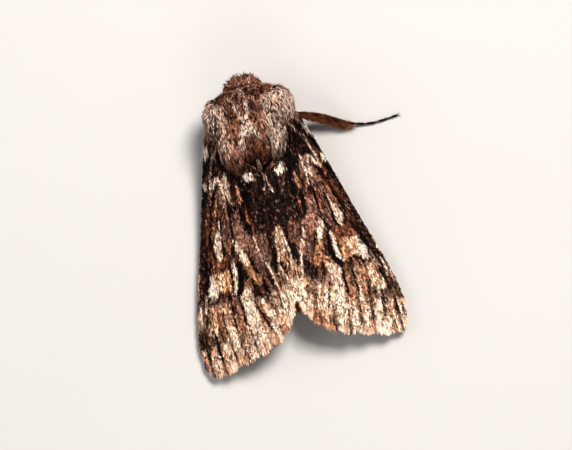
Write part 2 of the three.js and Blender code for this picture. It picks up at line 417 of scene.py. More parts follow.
camera_data = bpy.data.cameras.new("camera")
camera_data.sensor_width = SENSOR
camera_data.lens = SENSOR * CAMERA_HEIGHT / VIEW_WIDTH
camera_data.clip_start = 0.01
camera = put_in_scene("camera", camera_data)
camera.location = TO_FRAME @ (LOOK_AT + Vector((0, 0, CAMERA_HEIGHT + WING_LEVEL)))
camera.rotation_euler = (0, 0, -LEAN)
bpy.context.scene.camera = camera
print("camera over", tuple(LOOK_AT), "lens", round(camera_data.lens, 1))

# %% Floor
floor = make_mesh("floor", [(-1, -1, 0), (1, -1, 0), (1, 1, 0), (-1, 1, 0)], [(0, 1, 2, 3)])


def floor_finish():
    material, shader, bench = new_finish("pale floor")
    mottle = bench("ShaderNodeTexNoise", Scale=40.0, Detail=3.0)
    colour = bench.blend(mottle, (0.47, 0.455, 0.435, 1), (0.52, 0.505, 0.485, 1))
    bench.fill(shader, Base_Color=colour, Roughness=0.9)
    return material


floor.data.materials.append(floor_finish())
print("floor:", floor.dimensions.x, "m wide")

# %% [markdown]
# ## Light
#
# Three wide soft lamps stand round the moth: a warm key in front on its right, a weak
# cool fill on its left, and a weak one behind the tail. A little light comes from all
# round. Small wide lamps give soft shadows, and a strong key keeps the fur crisp.

# %% Lamps
LAMPS = {
    # name: (place in body mm, width in mm, watts, warmth)
    "key": ((95, 100, 265), 90, 1.2, (1, 0.97, 0.93)),
    "fill": ((-190, 40, 150), 200, 0.22, (0.95, 0.97, 1)),
    "tail": ((-20, -220, 170), 160, 0.15, (1, 0.98, 0.95)),
}


def add_lamp(name, place, width, watts, colour):
    lamp = bpy.data.lights.new(name, "AREA")
    lamp.size = width * MM
    lamp.energy = watts
    lamp.color = colour
    obj = put_in_scene(name, lamp)
    obj.location = TO_FRAME @ Vector(place)
    aim = TO_FRAME @ LOOK_AT - obj.location
    obj.rotation_euler = aim.to_track_quat("-Z", "Y").to_euler()


for lamp_name, lamp_facts in LAMPS.items():
    add_lamp(lamp_name, *lamp_facts)

world = bpy.data.worlds.new("studio")
world.use_nodes = True
sky = world.node_tree.nodes["Background"].inputs
sky["Color"].default_value = (0.93, 0.95, 1, 1)
sky["Strength"].default_value = 0.19
bpy.context.scene.world = world
bpy.context.scene.view_settings.view_transform = "Standard"
bpy.context.scene.view_settings.look = "Medium High Contrast"
print("lamps:", ", ".join(LAMPS))

# %% [markdown]
# ## The plan of a forewing
#
# Seen from above, a folded forewing has three edges: the costa in front, the inner edge
# along the back, and the outer margin. A point of the wing is found from its share a of
# the way across, from the inner edge to the costa, and its share b from root to margin.
# Blending the edge lines gives every point between them. Both wings together make a low
# rounded roof, whose ridge sinks towards the tail.

# %% Wing plan
WING_SPLIT = 0.15
COSTA = smooth_line([(3.7, 0.3), (5.35, -4.4), (6.95, -9.8), (8.2, -14), (8.9, -17.3), (8.75, -19.75)])
INNER = smooth_line(
    [(3.2, -0.4), (2.5, -2.6), (1, -4.1), (WING_SPLIT, -5.4), (WING_SPLIT, -10.5), (WING_SPLIT, -15.7)]
)
TERMEN = smooth_line(
    [(WING_SPLIT, -15.7), (0.75, -17), (1.9, -18.3), (3.6, -19.3), (6, -20), (7.8, -20.4), (8.75, -19.75)]
)


def wing_plan(a, b):
    a, b = np.asarray(a, float), np.asarray(b, float)
    root = at_share(INNER, 0) * (1 - a)[:, None] + at_share(COSTA, 0) * a[:, None]
    lengthwise = at_share(INNER, b) * (1 - a)[:, None] + at_share(COSTA, b) * a[:, None]
    ends = root * (1 - b)[:, None] + at_share(TERMEN, a) * b[:, None]
    inner_ends = INNER[0] * (1 - b)[:, None] + INNER[-1] * b[:, None]
    costa_ends = COSTA[0] * (1 - b)[:, None] + COSTA[-1] * b[:, None]
    return lengthwise + ends - inner_ends * (1 - a)[:, None] - costa_ends * a[:, None]


# %% [markdown]
# The roof's height comes from a formula: a ridge in the middle, an eave at the costa,
# and a round fall between them. The same formula, a small step aside, gives its slope.

# %% Wing roof
RIDGE_FRONT, RIDGE_FALL, RIDGE_START = 6.2, 0.125, -4
EAVE_REAR, EAVE_RISE, EAVE_REACH = 0.9, 3.8, 5
ROOF_POWER = 1.5  # 1 is a flat roof, 2 a round one


def roof_height(x, y):
    ridge = RIDGE_FRONT + RIDGE_FALL * (y - RIDGE_START)
    eave = EAVE_REAR + EAVE_RISE * np.exp(np.minimum(y, 1) / EAVE_REACH)
    half_width = np.interp(-y, -COSTA[:, 1], COSTA[:, 0])
    across = np.minimum(1, np.abs(x) / half_width)
    return eave + (ridge - eave) * (1 - across**ROOF_POWER)


def roof_normal(x, y):
    d = 0.05
    slope_x = (roof_height(x + d, y) - roof_height(x - d, y)) / (2 * d)
    slope_y = (roof_height(x, y + d) - roof_height(x, y - d)) / (2 * d)
    normal = np.stack([-slope_x, -slope_y, np.ones_like(x)], -1)
    return normal / np.linalg.norm(normal, axis=1, keepdims=True)


print("ridge", RIDGE_FRONT, "mm high in front, eaves", EAVE_REAR, "mm behind")


# %% [markdown]
# ## The veins
#
# Veins run from the wing's root to its margin, and everything else follows them: the
# pleats of the membrane, the way the scales lie, and the dark and pale streaks. Each
# vein is given by how far out it is at a few distances behind the head. A point's vein
# number, such as 3.5 for half-way between the third and the fourth, then tells which
# streak it is in.

# %% Vein map
VEIN_STATIONS = np.array([0, 4, 8, 12, 16, 20])  # millimetres behind the body's origin
VEINS = np.array(
    [
        [2.9, 0.9, 0.0, 0.0, -0.4, -1.6],  # inner edge
        [3.0, 1.4, 0.9, 0.7, 0.2, -0.8],
        [3.1, 2.0, 1.9, 1.6, 0.9, 0.0],
        [3.2, 2.6, 2.8, 2.6, 1.9, 1.2],
        [3.3, 3.1, 3.5, 3.6, 3.2, 2.5],
        [3.35, 3.6, 4.1, 4.4, 4.3, 3.8],
        [3.4, 3.9, 4.6, 5.1, 5.3, 4.9],
        [3.45, 4.3, 5.1, 5.9, 6.2, 5.9],
        [3.5, 4.6, 5.6, 6.6, 7.2, 7.0],
        [3.6, 4.9, 6.0, 7.1, 8.0, 8.2],
        [3.75, 5.25, 6.5, 7.65, 8.75, 9.2],  # costa
    ]
)


def vein_places(y):
    """How far out each vein is, for each y: one row for each point."""
    return np.stack([np.interp(-y, VEIN_STATIONS, vein) for vein in VEINS], -1)


def vein_number(x, y):
    places = vein_places(y)
    last = places.shape[1] - 1
    below = np.clip((places < x[:, None]).sum(1) - 1, 0, last - 1)
    rows = np.arange(len(x))
    low, high = places[rows, below], places[rows, below + 1]
    return below + (x - low) / np.maximum(high - low, 0.05)


def vein_direction(x, y):
    """The way from root to margin along the veins, in plan."""
    step = 0.4
    number = np.clip(vein_number(x, y), 0, len(VEINS) - 1)
    ahead = vein_places(y - step)
    behind = vein_places(y + step)
    rows = np.arange(len(x))
    low = np.minimum(number.astype(int), len(VEINS) - 2)
    share = number - low
    to_x = ahead[rows, low] * (1 - share) + ahead[rows, low + 1] * share
    from_x = behind[rows, low] * (1 - share) + behind[rows, low + 1] * share
    way = np.stack([to_x - from_x, np.full_like(x, -2 * step)], -1)
    return way / np.linalg.norm(way, axis=1, keepdims=True)


print("veins:", len(VEINS))

# %% [markdown]
# ## The wing's markings
#
# A moth's pattern is made of scales of a few plain colours. The ground is laid first:
# streaked dark brown towards the body, and pinkish buff in the outer third. Then come
# the marks, each a streak along a bent line or a patch with corners, in the order that a
# painter would lay them. Their edges are ragged, because a mark ends where its scales do.
# A painted texture could carry the pattern too, but marks laid in millimetres stay sharp at any
# distance and can be moved one by one.

# %% Streaks
STREAKS = [
    # (colour, half width, strength, points of a line from root to margin)
    (VIOLET, 0.5, 0.95, (3.3, 0.2), (3.5, -0.4), (3.6, -1.1)),
    (VIOLET, 0.12, 0.6, (3.6, -1.2), (4.3, -2.9), (5.0, -4.2)),
    (BLACK, 0.5, 0.9, (2.6, -1.6), (2.5, -3.2), (2.1, -5.2)),
    (SOOT, 0.45, 0.9, (3.1, -1.6), (3.1, -2.8), (2.9, -3.9)),
    (BLACK, 0.24, 0.9, (3.5, -0.9), (4.3, -2.6), (4.95, -3.9)),
    (PALE, 0.07, 0.9, (3.15, -1.35), (3.8, -2.2), (4.2, -3.2), (4.6, -4.3)),
    (WHITE, 0.16, 0.9, (4.1, -1.3), (4.3, -1.8), (4.45, -2.3)),
    (TAN, 0.1, 0.9, (3.0, -0.95), (3.15, -1.15)),
    (PALE, 0.17, 0.85, (3.3, -4.0), (3.4, -5.2), (3.45, -6.4)),
    (PALE, 0.12, 0.85, (3.95, -4.1), (3.8, -5.0), (3.85, -6.0)),
    (WHITE, 0.07, 0.9, (4.1, -4.2), (4.35, -4.7), (4.5, -5.1)),
    (PALE, 0.1, 0.7, (4.5, -4.3), (4.8, -5.4)),
    (WHITE, 0.14, 0.8, (5.05, -4.3), (5.2, -5.0)),
    (BLACK, 0.15, 1, (4.15, -4.9), (4.5, -5.4), (4.95, -6.3)),
    (BLACK, 0.26, 0.95, (5.1, -5.2), (5.5, -5.7), (5.6, -6.1)),
    (TAN, 0.12, 0.7, (2.5, -5.3), (2.55, -6.0), (2.6, -6.7)),
    (BLACK, 0.2, 0.95, (2.1, -5.2), (2.1, -7.0), (2.25, -9.1)),
    (BLACK, 0.155, 0.9, (2.75, -6.8), (2.65, -8.0), (2.6, -8.9)),
    (RUST, 0.09, 0.7, (2.25, -7.2), (2.3, -7.9), (2.2, -8.5)),
    (BLACK, 0.155, 0.8, (1.0, -5.1), (0.95, -7.0), (1.0, -9.2)),
    (BLACK, 0.115, 1, (3.55, -5.9), (3.7, -7.5), (3.8, -8.8), (4.15, -10.7)),
    (TAN, 0.05, 0.6, (3.9, -6.9), (4.0, -9.0), (4.35, -10.3)),
    (TAN, 0.1, 0.6, (4.45, -6.1), (4.6, -6.5)),
    (TAN, 0.05, 0.7, (4.7, -6.5), (5.05, -7.7), (5.55, -9.0)),
    (BLACK, 0.115, 1, (5.05, -6.2), (5.35, -7.8), (5.75, -9.1), (5.7, -10.4)),
    (BLACK, 0.125, 1, (4.5, -7.6), (4.75, -9.0), (4.8, -10.1), (5.25, -10.55)),
    (WHITE, 0.06, 1, (4.68, -7.7), (4.85, -8.5)),
    (PALE, 0.27, 0.75, (4.9, -8.5), (5.15, -9.5), (5.25, -10.45)),
    (PALE, 0.13, 0.9, (5.15, -8.8), (5.42, -9.6), (5.4, -10.2)),
    (PALE, 0.27, 0.95, (3.8, -9.5), (3.5, -10.4), (3.1, -11.4)),
    (BLACK, 0.15, 0.85, (0.45, -8.2), (0.5, -9.4)),
    (BLACK, 0.105, 1, (3.65, -9.2), (3.95, -9.9), (4.15, -10.5)),
    (BLACK, 0.135, 1, (3.0, -10.6), (2.65, -11.6), (2.25, -12.9), (1.9, -14.2)),
    (TAN, 0.34, 0.55, (3.2, -11.4), (2.8, -12.4), (2.5, -13.2)),
    (PALE, 0.08, 0.9, (1.75, -10.9), (1.5, -11.8), (1.2, -13.3), (1.05, -13.9)),
    (BLACK, 0.095, 0.9, (1.95, -11.9), (1.6, -12.9), (1.4, -14.0)),
    (PALE, 0.08, 0.8, (2.15, -9.5), (2.0, -10.5), (1.75, -11.6)),
    (BLACK, 0.135, 0.8, (0.6, -9.1), (0.62, -10.5), (0.75, -11.6)),
    (TAN, 0.3, 0.5, (0.0, -9.3), (0.02, -10.6), (0.05, -12.0)),
    (PALE, 0.1, 0.65, (0.05, -9.5), (0.08, -10.6), (0.08, -11.7)),
    (PALE, 0.1, 0.85, (0.3, -9.8), (0.42, -11.2), (0.62, -12.1)),
    (PALE, 0.1, 0.8, (0.6, -12.1), (0.45, -12.6), (0.2, -13.3)),
    (SOOT, 0.12, 0.8, (0.15, -12.1), (0.3, -13.1), (0.4, -13.7)),
    (BLACK, 0.115, 0.8, (0.9, -12.4), (0.8, -13.4), (0.9, -13.9)),
    (PALE, 0.09, 0.9, (0.1, -3.9), (0.12, -4.5), (0.12, -5.2)),
    (PALE, 0.05, 0.8, (0.15, -5.5), (0.45, -6.5)),
    (BLACK, 0.12, 1, (5.1, -13.5), (5.22, -14.7), (5.3, -16.3)),
    (BLACK, 0.135, 1, (4.5, -13.7), (4.4, -14.8), (4.45, -16.3)),
    (BLACK, 0.095, 0.9, (4.95, -14.0), (4.95, -15.8)),
    (BLACK, 0.115, 1, (3.3, -14.5), (2.95, -15.7), (2.55, -17.1)),
    (BLACK, 0.125, 0.9, (6.25, -15.9), (6.15, -16.7)),
    (BLACK, 0.125, 1, (7.2, -16.6), (7.2, -17.8), (7.05, -18.9)),
    (SOOT, 0.08, 0.9, (6.1, -17.8), (5.85, -18.9)),
    (SOOT, 0.07, 0.9, (5.0, -16.8), (4.95, -18.2), (4.9, -19.2)),
    (SOOT, 0.07, 0.8, (3.9, -17.0), (3.75, -17.9)),
    (BLACK, 0.115, 0.9, (2.75, -17.9), (2.85, -18.8)),
    (BLACK, 0.125, 1, (8.15, -17.2), (8.2, -18.2), (8.25, -18.9)),
    (BLACK, 0.105, 1, (8.6, -18.3), (8.65, -19.0)),
    (BLACK, 0.135, 1, (6.45, -10.4), (7.0, -12.5), (7.5, -14.9), (7.7, -15.8)),
    (BLACK, 0.125, 1, (6.0, -10.3), (6.65, -12.0), (7.1, -13.8)),
    (BLACK, 0.105, 0.9, (7.15, -14.2), (7.4, -15.9)),
    (PALE, 0.05, 0.9, (7.1, -13.1), (7.5, -14.6)),
    (PALE, 0.08, 0.9, (7.65, -12.4), (7.85, -13.4)),
    (PALE, 0.08, 0.95, (7.8, -13.9), (8.0, -15.0), (8.0, -15.6)),
    (PALE, 0.08, 0.95, (8.35, -15.2), (8.75, -16.2)),
    (SOOT, 0.13, 0.9, (6.75, -16.0), (6.65, -17.2)),
    (BLACK, 0.125, 0.8, (0.6, -15.2), (0.65, -15.9)),
    (BLACK, 0.105, 0.8, (1.2, -14.7), (1.15, -15.8)),
    (BROWN, 0.14, 0.8, (1.5, -16.9), (1.6, -17.4)),
    (SOOT, 0.07, 0.7, (2.2, -14.0), (1.95, -15.2), (1.7, -16.2)),
]
print("streaks:", len(STREAKS))

# %% [markdown]
# Patches lie under the streaks. The last marks are the crescent of the kidney mark, its
# black surround and a thin tan line along the costa, a painted highlight of its edge, which
# go over everything else.

# %% Patches and last marks
PATCHES = [
    # (colour, strength, corners)
    (BLACK, 0.7, (0, -4.3), (0.9, -4.5), (1.0, -9.0), (0, -9.0)),
    (BLACK, 0.55, (1.0, -5.2), (2.2, -5.2), (2.1, -8.4), (1.5, -8.8), (1.0, -8.0)),
    (BLACK, 0.75, (2.1, -5.6), (2.8, -6.2), (2.85, -8.9), (2.3, -9.3)),
    (SOOT, 0.8, (5.9, -8.6), (6.6, -8.8), (7.2, -11.4), (6.4, -11.2)),
    (SOOT, 0.6, (0, -7.4), (1.9, -7.6), (2.0, -9.2), (0, -9.2)),
    (VIOLET, 0.65, (2.95, -7.4), (3.55, -7.4), (3.75, -9.6), (3.1, -10.8), (2.6, -9.4)),
    (VIOLET, 0.3, (1.2, -9.4), (3.0, -9.2), (2.4, -12.6), (1.2, -12.8)),
    (VIOLET, 0.4, (4.2, -6.2), (4.9, -8.0), (4.7, -10.4), (4.1, -10.2)),
    (BLACK, 0.7, (2.3, -1.2), (3.3, -1.2), (3.5, -3.9), (2.9, -5.2), (2.0, -5.3), (1.4, -4.0)),
    (VIOLET, 0.6, (3.1, -4.0), (4.2, -4.1), (4.7, -5.2), (4.2, -6.6), (3.2, -6.7)),
    (WHITE, 0.95, (1.0, -4.6), (1.45, -4.55), (1.6, -4.2), (1.95, -4.3), (1.95, -5.0), (1.1, -5.15)),
    (BROWN, 0.7, (4.7, -10.5), (5.9, -10.4), (6.4, -11.7), (4.7, -11.6)),
    (RUST, 0.2, (4.6, -6.3), (5.6, -6.6), (6.0, -8.6), (5.2, -8.8)),
    (TAN, 0.85, (4.7, -11.5), (6.4, -11.6), (6.95, -13.5), (6.2, -13.4), (5.6, -13.1), (4.8, -13.4)),
    (PALE, 0.3, (5.2, -11.6), (6.45, -11.65), (6.9, -13.4), (5.5, -13.0)),
    (WHITE, 0.5, (6.1, -11.7), (6.5, -11.75), (7.0, -13.6), (6.75, -13.8), (5.7, -13.05), (6.1, -12.5)),
    (TAN, 0.5, (3.1, -12.6), (3.9, -12.9), (4.2, -13.9), (3.4, -14.2)),
    (
        PALE, 0.9,
        (3.3, -13.3), (3.9, -13.3), (4.35, -13.9), (4.25, -16.5), (3.9, -18.5), (3.1, -17.5), (3.3, -15.0),
    ),
    (BROWN, 0.75, (4.45, -13.8), (5.15, -13.6), (5.3, -15.9), (4.9, -16.9), (4.4, -16.2)),
    (BROWN, 0.6, (5.6, -13.4), (6.0, -13.7), (6.0, -16.6), (5.6, -15.8)),
    (TAN, 0.5, (6.4, -13.8), (7.3, -14.2), (7.4, -15.9), (6.8, -16.0)),
    (SOOT, 0.7, (7.45, -13.8), (8.3, -14.1), (8.9, -16.4), (9.0, -17.7), (8.2, -17.5), (7.6, -16.2)),
    (BLACK, 0.85, (8.1, -15.8), (9.0, -16.6), (9.0, -17.8), (8.25, -17.6)),
    (BLACK, 0.7, (7.2, -16.6), (8.1, -16.3), (8.3, -17.6), (7.3, -17.4)),
    (SOOT, 0.6, (6.45, -16.4), (6.95, -16.3), (7.0, -17.3), (6.5, -17.3)),
    (SOOT, 0.5, (1.2, -13.7), (2.3, -13.5), (2.1, -15.3), (1.6, -15.7), (1.2, -15.2)),
    (PALE, 0.8, (0, -13.6), (0.9, -14.0), (1.3, -15.6), (1.1, -17.0), (0, -16.2)),
]
LAST_MARKS = [
    # as the streaks are given
    (BLACK, 0.27, 1, (3.9, -11.0), (3.95, -12.3), (4.2, -13.3), (4.55, -13.7)),
    (WHITE, 0.14, 1, (4.28, -10.8), (4.28, -12.0), (4.45, -12.9), (4.72, -13.45)),
    (TAN, 0.05, 0.8, (4.45, -10.9), (4.47, -12.2), (4.65, -13.1)),
    (BLACK, 0.04, 0.8, (4.6, -11.1), (4.65, -12.2), (4.8, -13.3)),
    (BLACK, 0.1, 1, (5.55, -13.2), (6.1, -13.6), (6.4, -13.9), (6.85, -13.95)),
    (BLACK, 0.07, 0.9, (4.8, -11.35), (5.6, -11.45), (6.5, -11.65)),
    # painted highlight: a thin tan line just inside the costa, where its edge catches the light
    (TAN, 0.12, 1, (5.25, -3.8), (6.05, -6.6), (6.85, -9.4), (7.35, -11.2), (7.95, -13.4)),
    (WHITE, 0.25, 0.6, (6.5, -12.5), (6.7, -13.2)),
]
print("patches:", len(PATCHES), "last marks:", len(LAST_MARKS))

# %% [markdown]
# To colour a point, the distance to each line or corner-to-corner outline is measured.


# %% Distances
def distance_to_line(points, line):
    """For each point, the distance to the line and the share of the line that is nearest."""
    best = np.full(len(points), 1e9)
    share = np.zeros(len(points))
    count = len(line) - 1
    for k in range(count):
        start, way = line[k], line[k + 1] - line[k]
        t = np.clip(((points - start) @ way) / (way @ way), 0, 1)
        gap = np.linalg.norm(points - start - t[:, None] * way, axis=1)
        closer = gap < best
        best[closer] = gap[closer]
        share[closer] = (k + t[closer]) / count
    return best, share


def depth_in_patch(points, corners):
    """How far inside the outline a point is: negative outside it."""
    loop = np.array([*corners, corners[0]], float)
    gap, _ = distance_to_line(points, loop)
    inside = np.zeros(len(points), bool)
    for (x0, y0), (x1, y1) in zip(loop[:-1], loop[1:], strict=True):
        crosses = (y0 > points[:, 1]) != (y1 > points[:, 1])
        level = (points[:, 1] - y0) / (y1 - y0 + 1e-12)
        inside ^= crosses & (points[:, 0] < x0 + level * (x1 - x0))
    return np.where(inside, gap, -gap)


# %% [markdown]
# Everything on the wing is brushed along the veins. So the noise that tells one scale
# from the next is stretched: its fields are read by vein number, not by millimetres.


# %% Wing grain
def wing_grain(x, y, seed):
    number = vein_number(x, y)
    return SimpleNamespace(
        number=number,
        fibre=speckle(number * 4.5, y * 0.8, seed),  # streaks a few to each vein space
        hair=speckle(number * 13, y * 2.2, seed + 1),
        dust=speckle(x * 7, y * 4, seed + 2),
        broad=speckle(number * 2.2, y * 0.5, seed + 3),
        brush=speckle(number * 3.3, y * 0.28, seed + 4),
    )


# %% [markdown]
# The ground has two parts: the dark inner two thirds, and the pale outer third with a
# ragged border and dark vein lines. The strip along the costa is made dusky, partly as its
# own colour and partly as painted shade where the roof falls steeply.


# %% The wing's ground
def inner_ground(x, y, grain):
    fibre, hair, dust, broad = grain.fibre, grain.hair, grain.dust, grain.broad
    basal = ramp(y, -10.5, -4.0) * ramp(5.2 - x, 0, 1.5)
    return lay_all(
        np.tile(SOOT, (len(x), 1)),
        (BROWN, 0.85 * ramp(0.7 * fibre + 0.3 * dust, 0.45, 0.65)),
        (VIOLET, 0.55 * ramp(dust * 0.6 + broad * 0.4, 0.58, 0.75)),
        (BLACK, 0.95 * ramp(0.6 * hair + 0.4 * broad, 0.45, 0.6)),
        (BLACK, 0.58 * basal * ramp(0.5 * fibre + 0.5 * hair, 0.7, 0.4)),
    )


def outer_third(x, y, grain):
    """1 in the pale outer third and 0 inside it, with a ragged border."""
    edge = -y - 13.7 + 1.1 * (grain.fibre - 0.5) + 0.5 * (grain.hair - 0.5)
    edge = edge + 1.4 * np.exp(-(((x - 0.6) / 1.2) ** 2)) - 0.9 * np.exp(-(((x - 2.1) / 0.8) ** 2))
    return ramp(edge, 0, 0.9)


def lay_outer_ground(colours, x, y, grain):
    fibre, hair, dust = grain.fibre, grain.hair, grain.dust
    outer = outer_third(x, y, grain)
    palest = 0.4 + 0.6 * ramp(-y, 16.5, 18.5)
    near_vein = np.abs(grain.number - np.round(grain.number))
    vein_line = ramp(0.15 - near_vein, 0, 0.06) * ramp(grain.broad, 0.38, 0.5)
    # partly painted shade: the strip along the costa, where the roof falls steeply, is darkened
    costa_dusk_and_painted_shade = ramp(grain.number, 8.5, 9.1) * (1 - ramp(-y, 13.5, 15))
    return lay_all(
        colours,
        (PALE * 0.6 + TAN * 0.4, outer),
        (WHITE, outer * palest * ramp(0.6 * hair + 0.4 * dust, 0.5, 0.64)),
        (TAN * 0.5 + BROWN * 0.5, 0.55 * outer * ramp(1.6 - x, 0, 1) * ramp(y, -17, -16)),
        (TAN * 0.8, outer * 0.8 * ramp(0.6 * fibre + 0.4 * hair, 0.5, 0.36)),
        (BROWN, outer * 0.85 * ramp(0.5 * dust + 0.5 * fibre, 0.34, 0.22)),
        (BROWN * 0.7, outer * (1.35 - palest) * 0.9 * ramp(grain.brush, 0.4, 0.25)),
        (BLACK, 0.85 * outer * vein_line),
        (SOOT, 0.58 * costa_dusk_and_painted_shade),
        (BLACK, 0.75 * costa_dusk_and_painted_shade * ramp(fibre, 0.52, 0.62)),
    )


# %% [markdown]
# A mark's distance is shaken by the grain before it is laid. That makes its edge ragged,
# as the scales of a real mark make it.


# %% Laying the marks
def lay_streak(colours, points, ragged, colour, half_width, strength, *line):
    fine = smooth_line(line, 6 * len(line)) if len(line) > 2 else np.array(line, float)
    gap, share = distance_to_line(points, fine)
    taper = np.sqrt(np.clip(np.sin(np.pi * (0.12 + 0.76 * share)), 0, 1))
    edge = half_width * taper + ragged * (0.02 + 0.3 * half_width)
    return lay(colours, colour, strength * ramp(edge - gap, -0.03, 0.05))


def wing_colours(x, y, seed):
    """The pattern's colour at each point of a forewing; x is the distance from the midline."""
    grain = wing_grain(x, y, seed)
    colours = lay_outer_ground(inner_ground(x, y, grain), x, y, grain)
    points = np.stack([x, y], -1)
    ragged = 1.4 * (grain.hair - 0.5) + 1.2 * (grain.dust - 0.5)
    for colour, strength, *corners in PATCHES:
        depth = depth_in_patch(points, corners) + ragged * 0.16
        uneven = strength * (0.75 + 0.5 * ramp(0.5 * grain.hair + 0.5 * grain.fibre, 0.35, 0.65))
        colours = lay(colours, colour, uneven * ramp(depth, -0.05, 0.08))
    for streak in STREAKS + LAST_MARKS:
        colours = lay_streak(colours, points, ragged, *streak)
    return colours


# %% [markdown]
# ## Forewing skins
#
# A wing's membrane is far thinner than its scales. Each skin is a closed thin shell that
# hangs just below the top of the wing's solid: two fine grids of points joined round the
# rim. It stops short of the outer margin, where the fringe carries on. The veins stand
# up as soft ribs, and the membrane sags a little between them.

# %% Grids that close into a shell
COAT_DEPTH = 0.12  # of the wing's scales
SHELL = 0.14  # thickness of a wing's skin
SCALE_REACH = 0.2  # a scale shows this far behind its root


def grid(rows, columns, across=(0, 1), down=(0, 1)):
    """Shares across and down for each point of a grid, row by row."""
    b, a = np.meshgrid(np.linspace(*down, rows), np.linspace(*across, columns), indexing="ij")
    return a.ravel(), b.ravel()


def shell_faces(rows, columns):
    """Faces of a top grid, of a bottom grid that follows it, and of the rim between them."""
    index = np.arange(rows * columns).reshape(rows, columns)
    cells = [index[:-1, :-1], index[1:, :-1], index[1:, 1:], index[:-1, 1:]]
    top = np.stack([c.ravel() for c in cells], -1)
    bottom = top[:, ::-1] + rows * columns
    loop = np.concatenate([index[0, :-1], index[:-1, -1], index[-1, :0:-1], index[:0:-1, 0]])
    after = np.roll(loop, -1)
    rim = np.stack([loop, after, after + rows * columns, loop + rows * columns], -1)
    return np.concatenate([top, bottom, rim])


def make_shell(name, top, away, side, rows, columns):
    """A thin closed wing: its top, a bottom a shell's thickness below it, and its map."""
    sign = SIDES[side]
    points = np.concatenate([top, top - away * SHELL])
    points[:, 0] *= sign
    obj = make_mesh(name, points, shell_faces(rows, columns)[:, ::sign])
    across, down = grid(rows, columns, (0, 0.46), (0.02, 0.98))
    upper = np.stack([across + 0.02, down], -1)
    both = np.concatenate([upper, upper + [0.5, 0]])
    set_uv(obj, both[corner_vertices(obj)])
    return obj


def lie_along_veins(x, y, away, side):
    """The way that scales lie on both faces of a wing: along the veins, flat on the roof."""
    outward = away * [SIDES[side], 1, 1]
    lie = np.concatenate([vein_direction(x, y) * [SIDES[side], 1], np.zeros((len(x), 1))], 1)
    lie -= outward * np.sum(lie * outward, 1, keepdims=True)
    return np.concatenate([lie, lie])


# %% [markdown]
# The forewing's skin carries the pattern on its upper face and a plain brown below. The
# two wings have other grain, and the left one's marks are shifted a little towards the
# tip, because no moth is quite the same on both sides.

# %% Forewing skins
WING_ROWS, WING_COLUMNS = ((230, 120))
FRINGE_START = 0.972
wing_a, wing_b = grid(WING_ROWS, WING_COLUMNS, (0, 0.99), (0.01, 1))


def wing_skin(side, seed, left_shift):
    a, b = wing_a, wing_b
    x, y = wing_plan(a, b * FRINGE_START).T
    x = x - 0.12 * (1 - a) ** 10 * ramp(b, 0.15, 0.3)  # the two inner edges meet
    rib = np.cos(2 * np.pi * vein_number(x, y)) * 0.5 + 0.5
    away = roof_normal(x, y)
    depth = COAT_DEPTH + 0.05 * (1 - rib**3) * ramp(b, 0.1, 0.3) + 0.6 * ramp(0.06 - b, 0, 0.05)
    top = np.stack([x, y, roof_height(x, y)], -1) - away * depth[:, None]
    obj = make_shell(f"forewing_skin_{side}", top, away, side, WING_ROWS, WING_COLUMNS)
    drift = left_shift * ramp(-y, 6, 13)
    colours = wing_colours(x - 0.12 * drift, y - SCALE_REACH + 0.4 * drift, seed)
    under = np.tile(BROWN * 0.6 + VIOLET * 0.4, (len(x), 1))
    under = lay(under, PALE * 0.85 + TAN * 0.15, 0.9 * ramp(b, 0.9, 0.96))
    mark_colour(obj, np.concatenate([colours, under]))
    mark(obj, "lie", VECTOR, lie_along_veins(x, y, away, side))
    mark(obj, "top", "FLOAT", np.repeat([1.0, 0.0], len(x)))
    return obj


forewing_skins = {"left": wing_skin("left", 11, 1), "right": wing_skin("right", 29, 0)}
for wing in forewing_skins.values():
    print(wing.name, len(wing.data.vertices), "vertices")

# %% [markdown]
# ## Scales and hairs
#
# Everything soft on a moth is one thing, a scale, drawn out to a hair on the body and
# flattened to a roof tile on the wings. Two kinds of small mesh are enough for all of
# it. A tile is a thin domed shield of a few faces. A hair is a three-sided spike that
# arches over, and a tuft is three of them on one root. All are one unit long and about
# one unit wide, so that a coat can stretch them. Few faces matter here, because each is
# repeated tens of thousands of times.


# %% Tile, hair and tuft
def lock_marks(obj, along, across):
    """Notes on a lock how far along and across each of its points is."""
    obj.data.shade_smooth()
    mark(obj, "along", "FLOAT", along)
    mark(obj, "patch", VECTOR, np.stack([across, along, 0 * along], -1))
    return obj


def tile_lock():
    """A shield-shaped scale: along +Y from its root, facing +Z, with a blunt end."""
    along = np.array([0, 0.3, 0.62, 0.86, 1.0])
    half = np.array([0.16, 0.36, 0.5, 0.42, 0.16])
    height = 0.13 * np.sin(np.pi * along * 0.9)
    left = np.stack([-half, along, height], -1)
    right = np.stack([half, along, height], -1)
    n = len(along)
    faces = [(i, i + n, i + n + 1, i + 1) for i in range(n - 1)]
    tile = make_mesh("tile", np.concatenate([left, right]), faces)
    return lock_marks(tile, np.tile(along, 2), np.repeat([0.0, 1.0], n))


def spike(aside, lean, reach, thick):
    """Points and faces of one three-sided spike that rises, arches over and ends in a point."""
    turns = np.radians([90, 210, 330])
    points = []
    for share, height in ((0.0, 0.0), (0.5, 0.15)):
        x = aside * (0.6 + share) + lean * share
        half = thick * (0.85 + 0.15 * share * 2)
        points += [(x + half * math.cos(t), share * reach, height + 0.6 * half * math.sin(t)) for t in turns]
    points.append((aside * 0.7 + lean, reach, 0.07))
    corners = [(side, (side + 1) % 3) for side in range(3)]
    faces = [(i + 3, j + 3, j, i) for i, j in corners]
    return points, faces + [(6, j + 3, i + 3) for i, j in corners]


def spike_lock(name, *spikes):
    """Spikes on one root, each given by how far aside it is, its lean, length and thickness."""
    lock = make_mesh(name, *joined([spike(*facts) for facts in spikes]))
    along = [share * facts[2] for facts in spikes for share in (0, 0, 0, 0.5, 0.5, 0.5, 1)]
    return lock_marks(lock, np.array(along), np.repeat([0.5 + facts[0] for facts in spikes], 7))


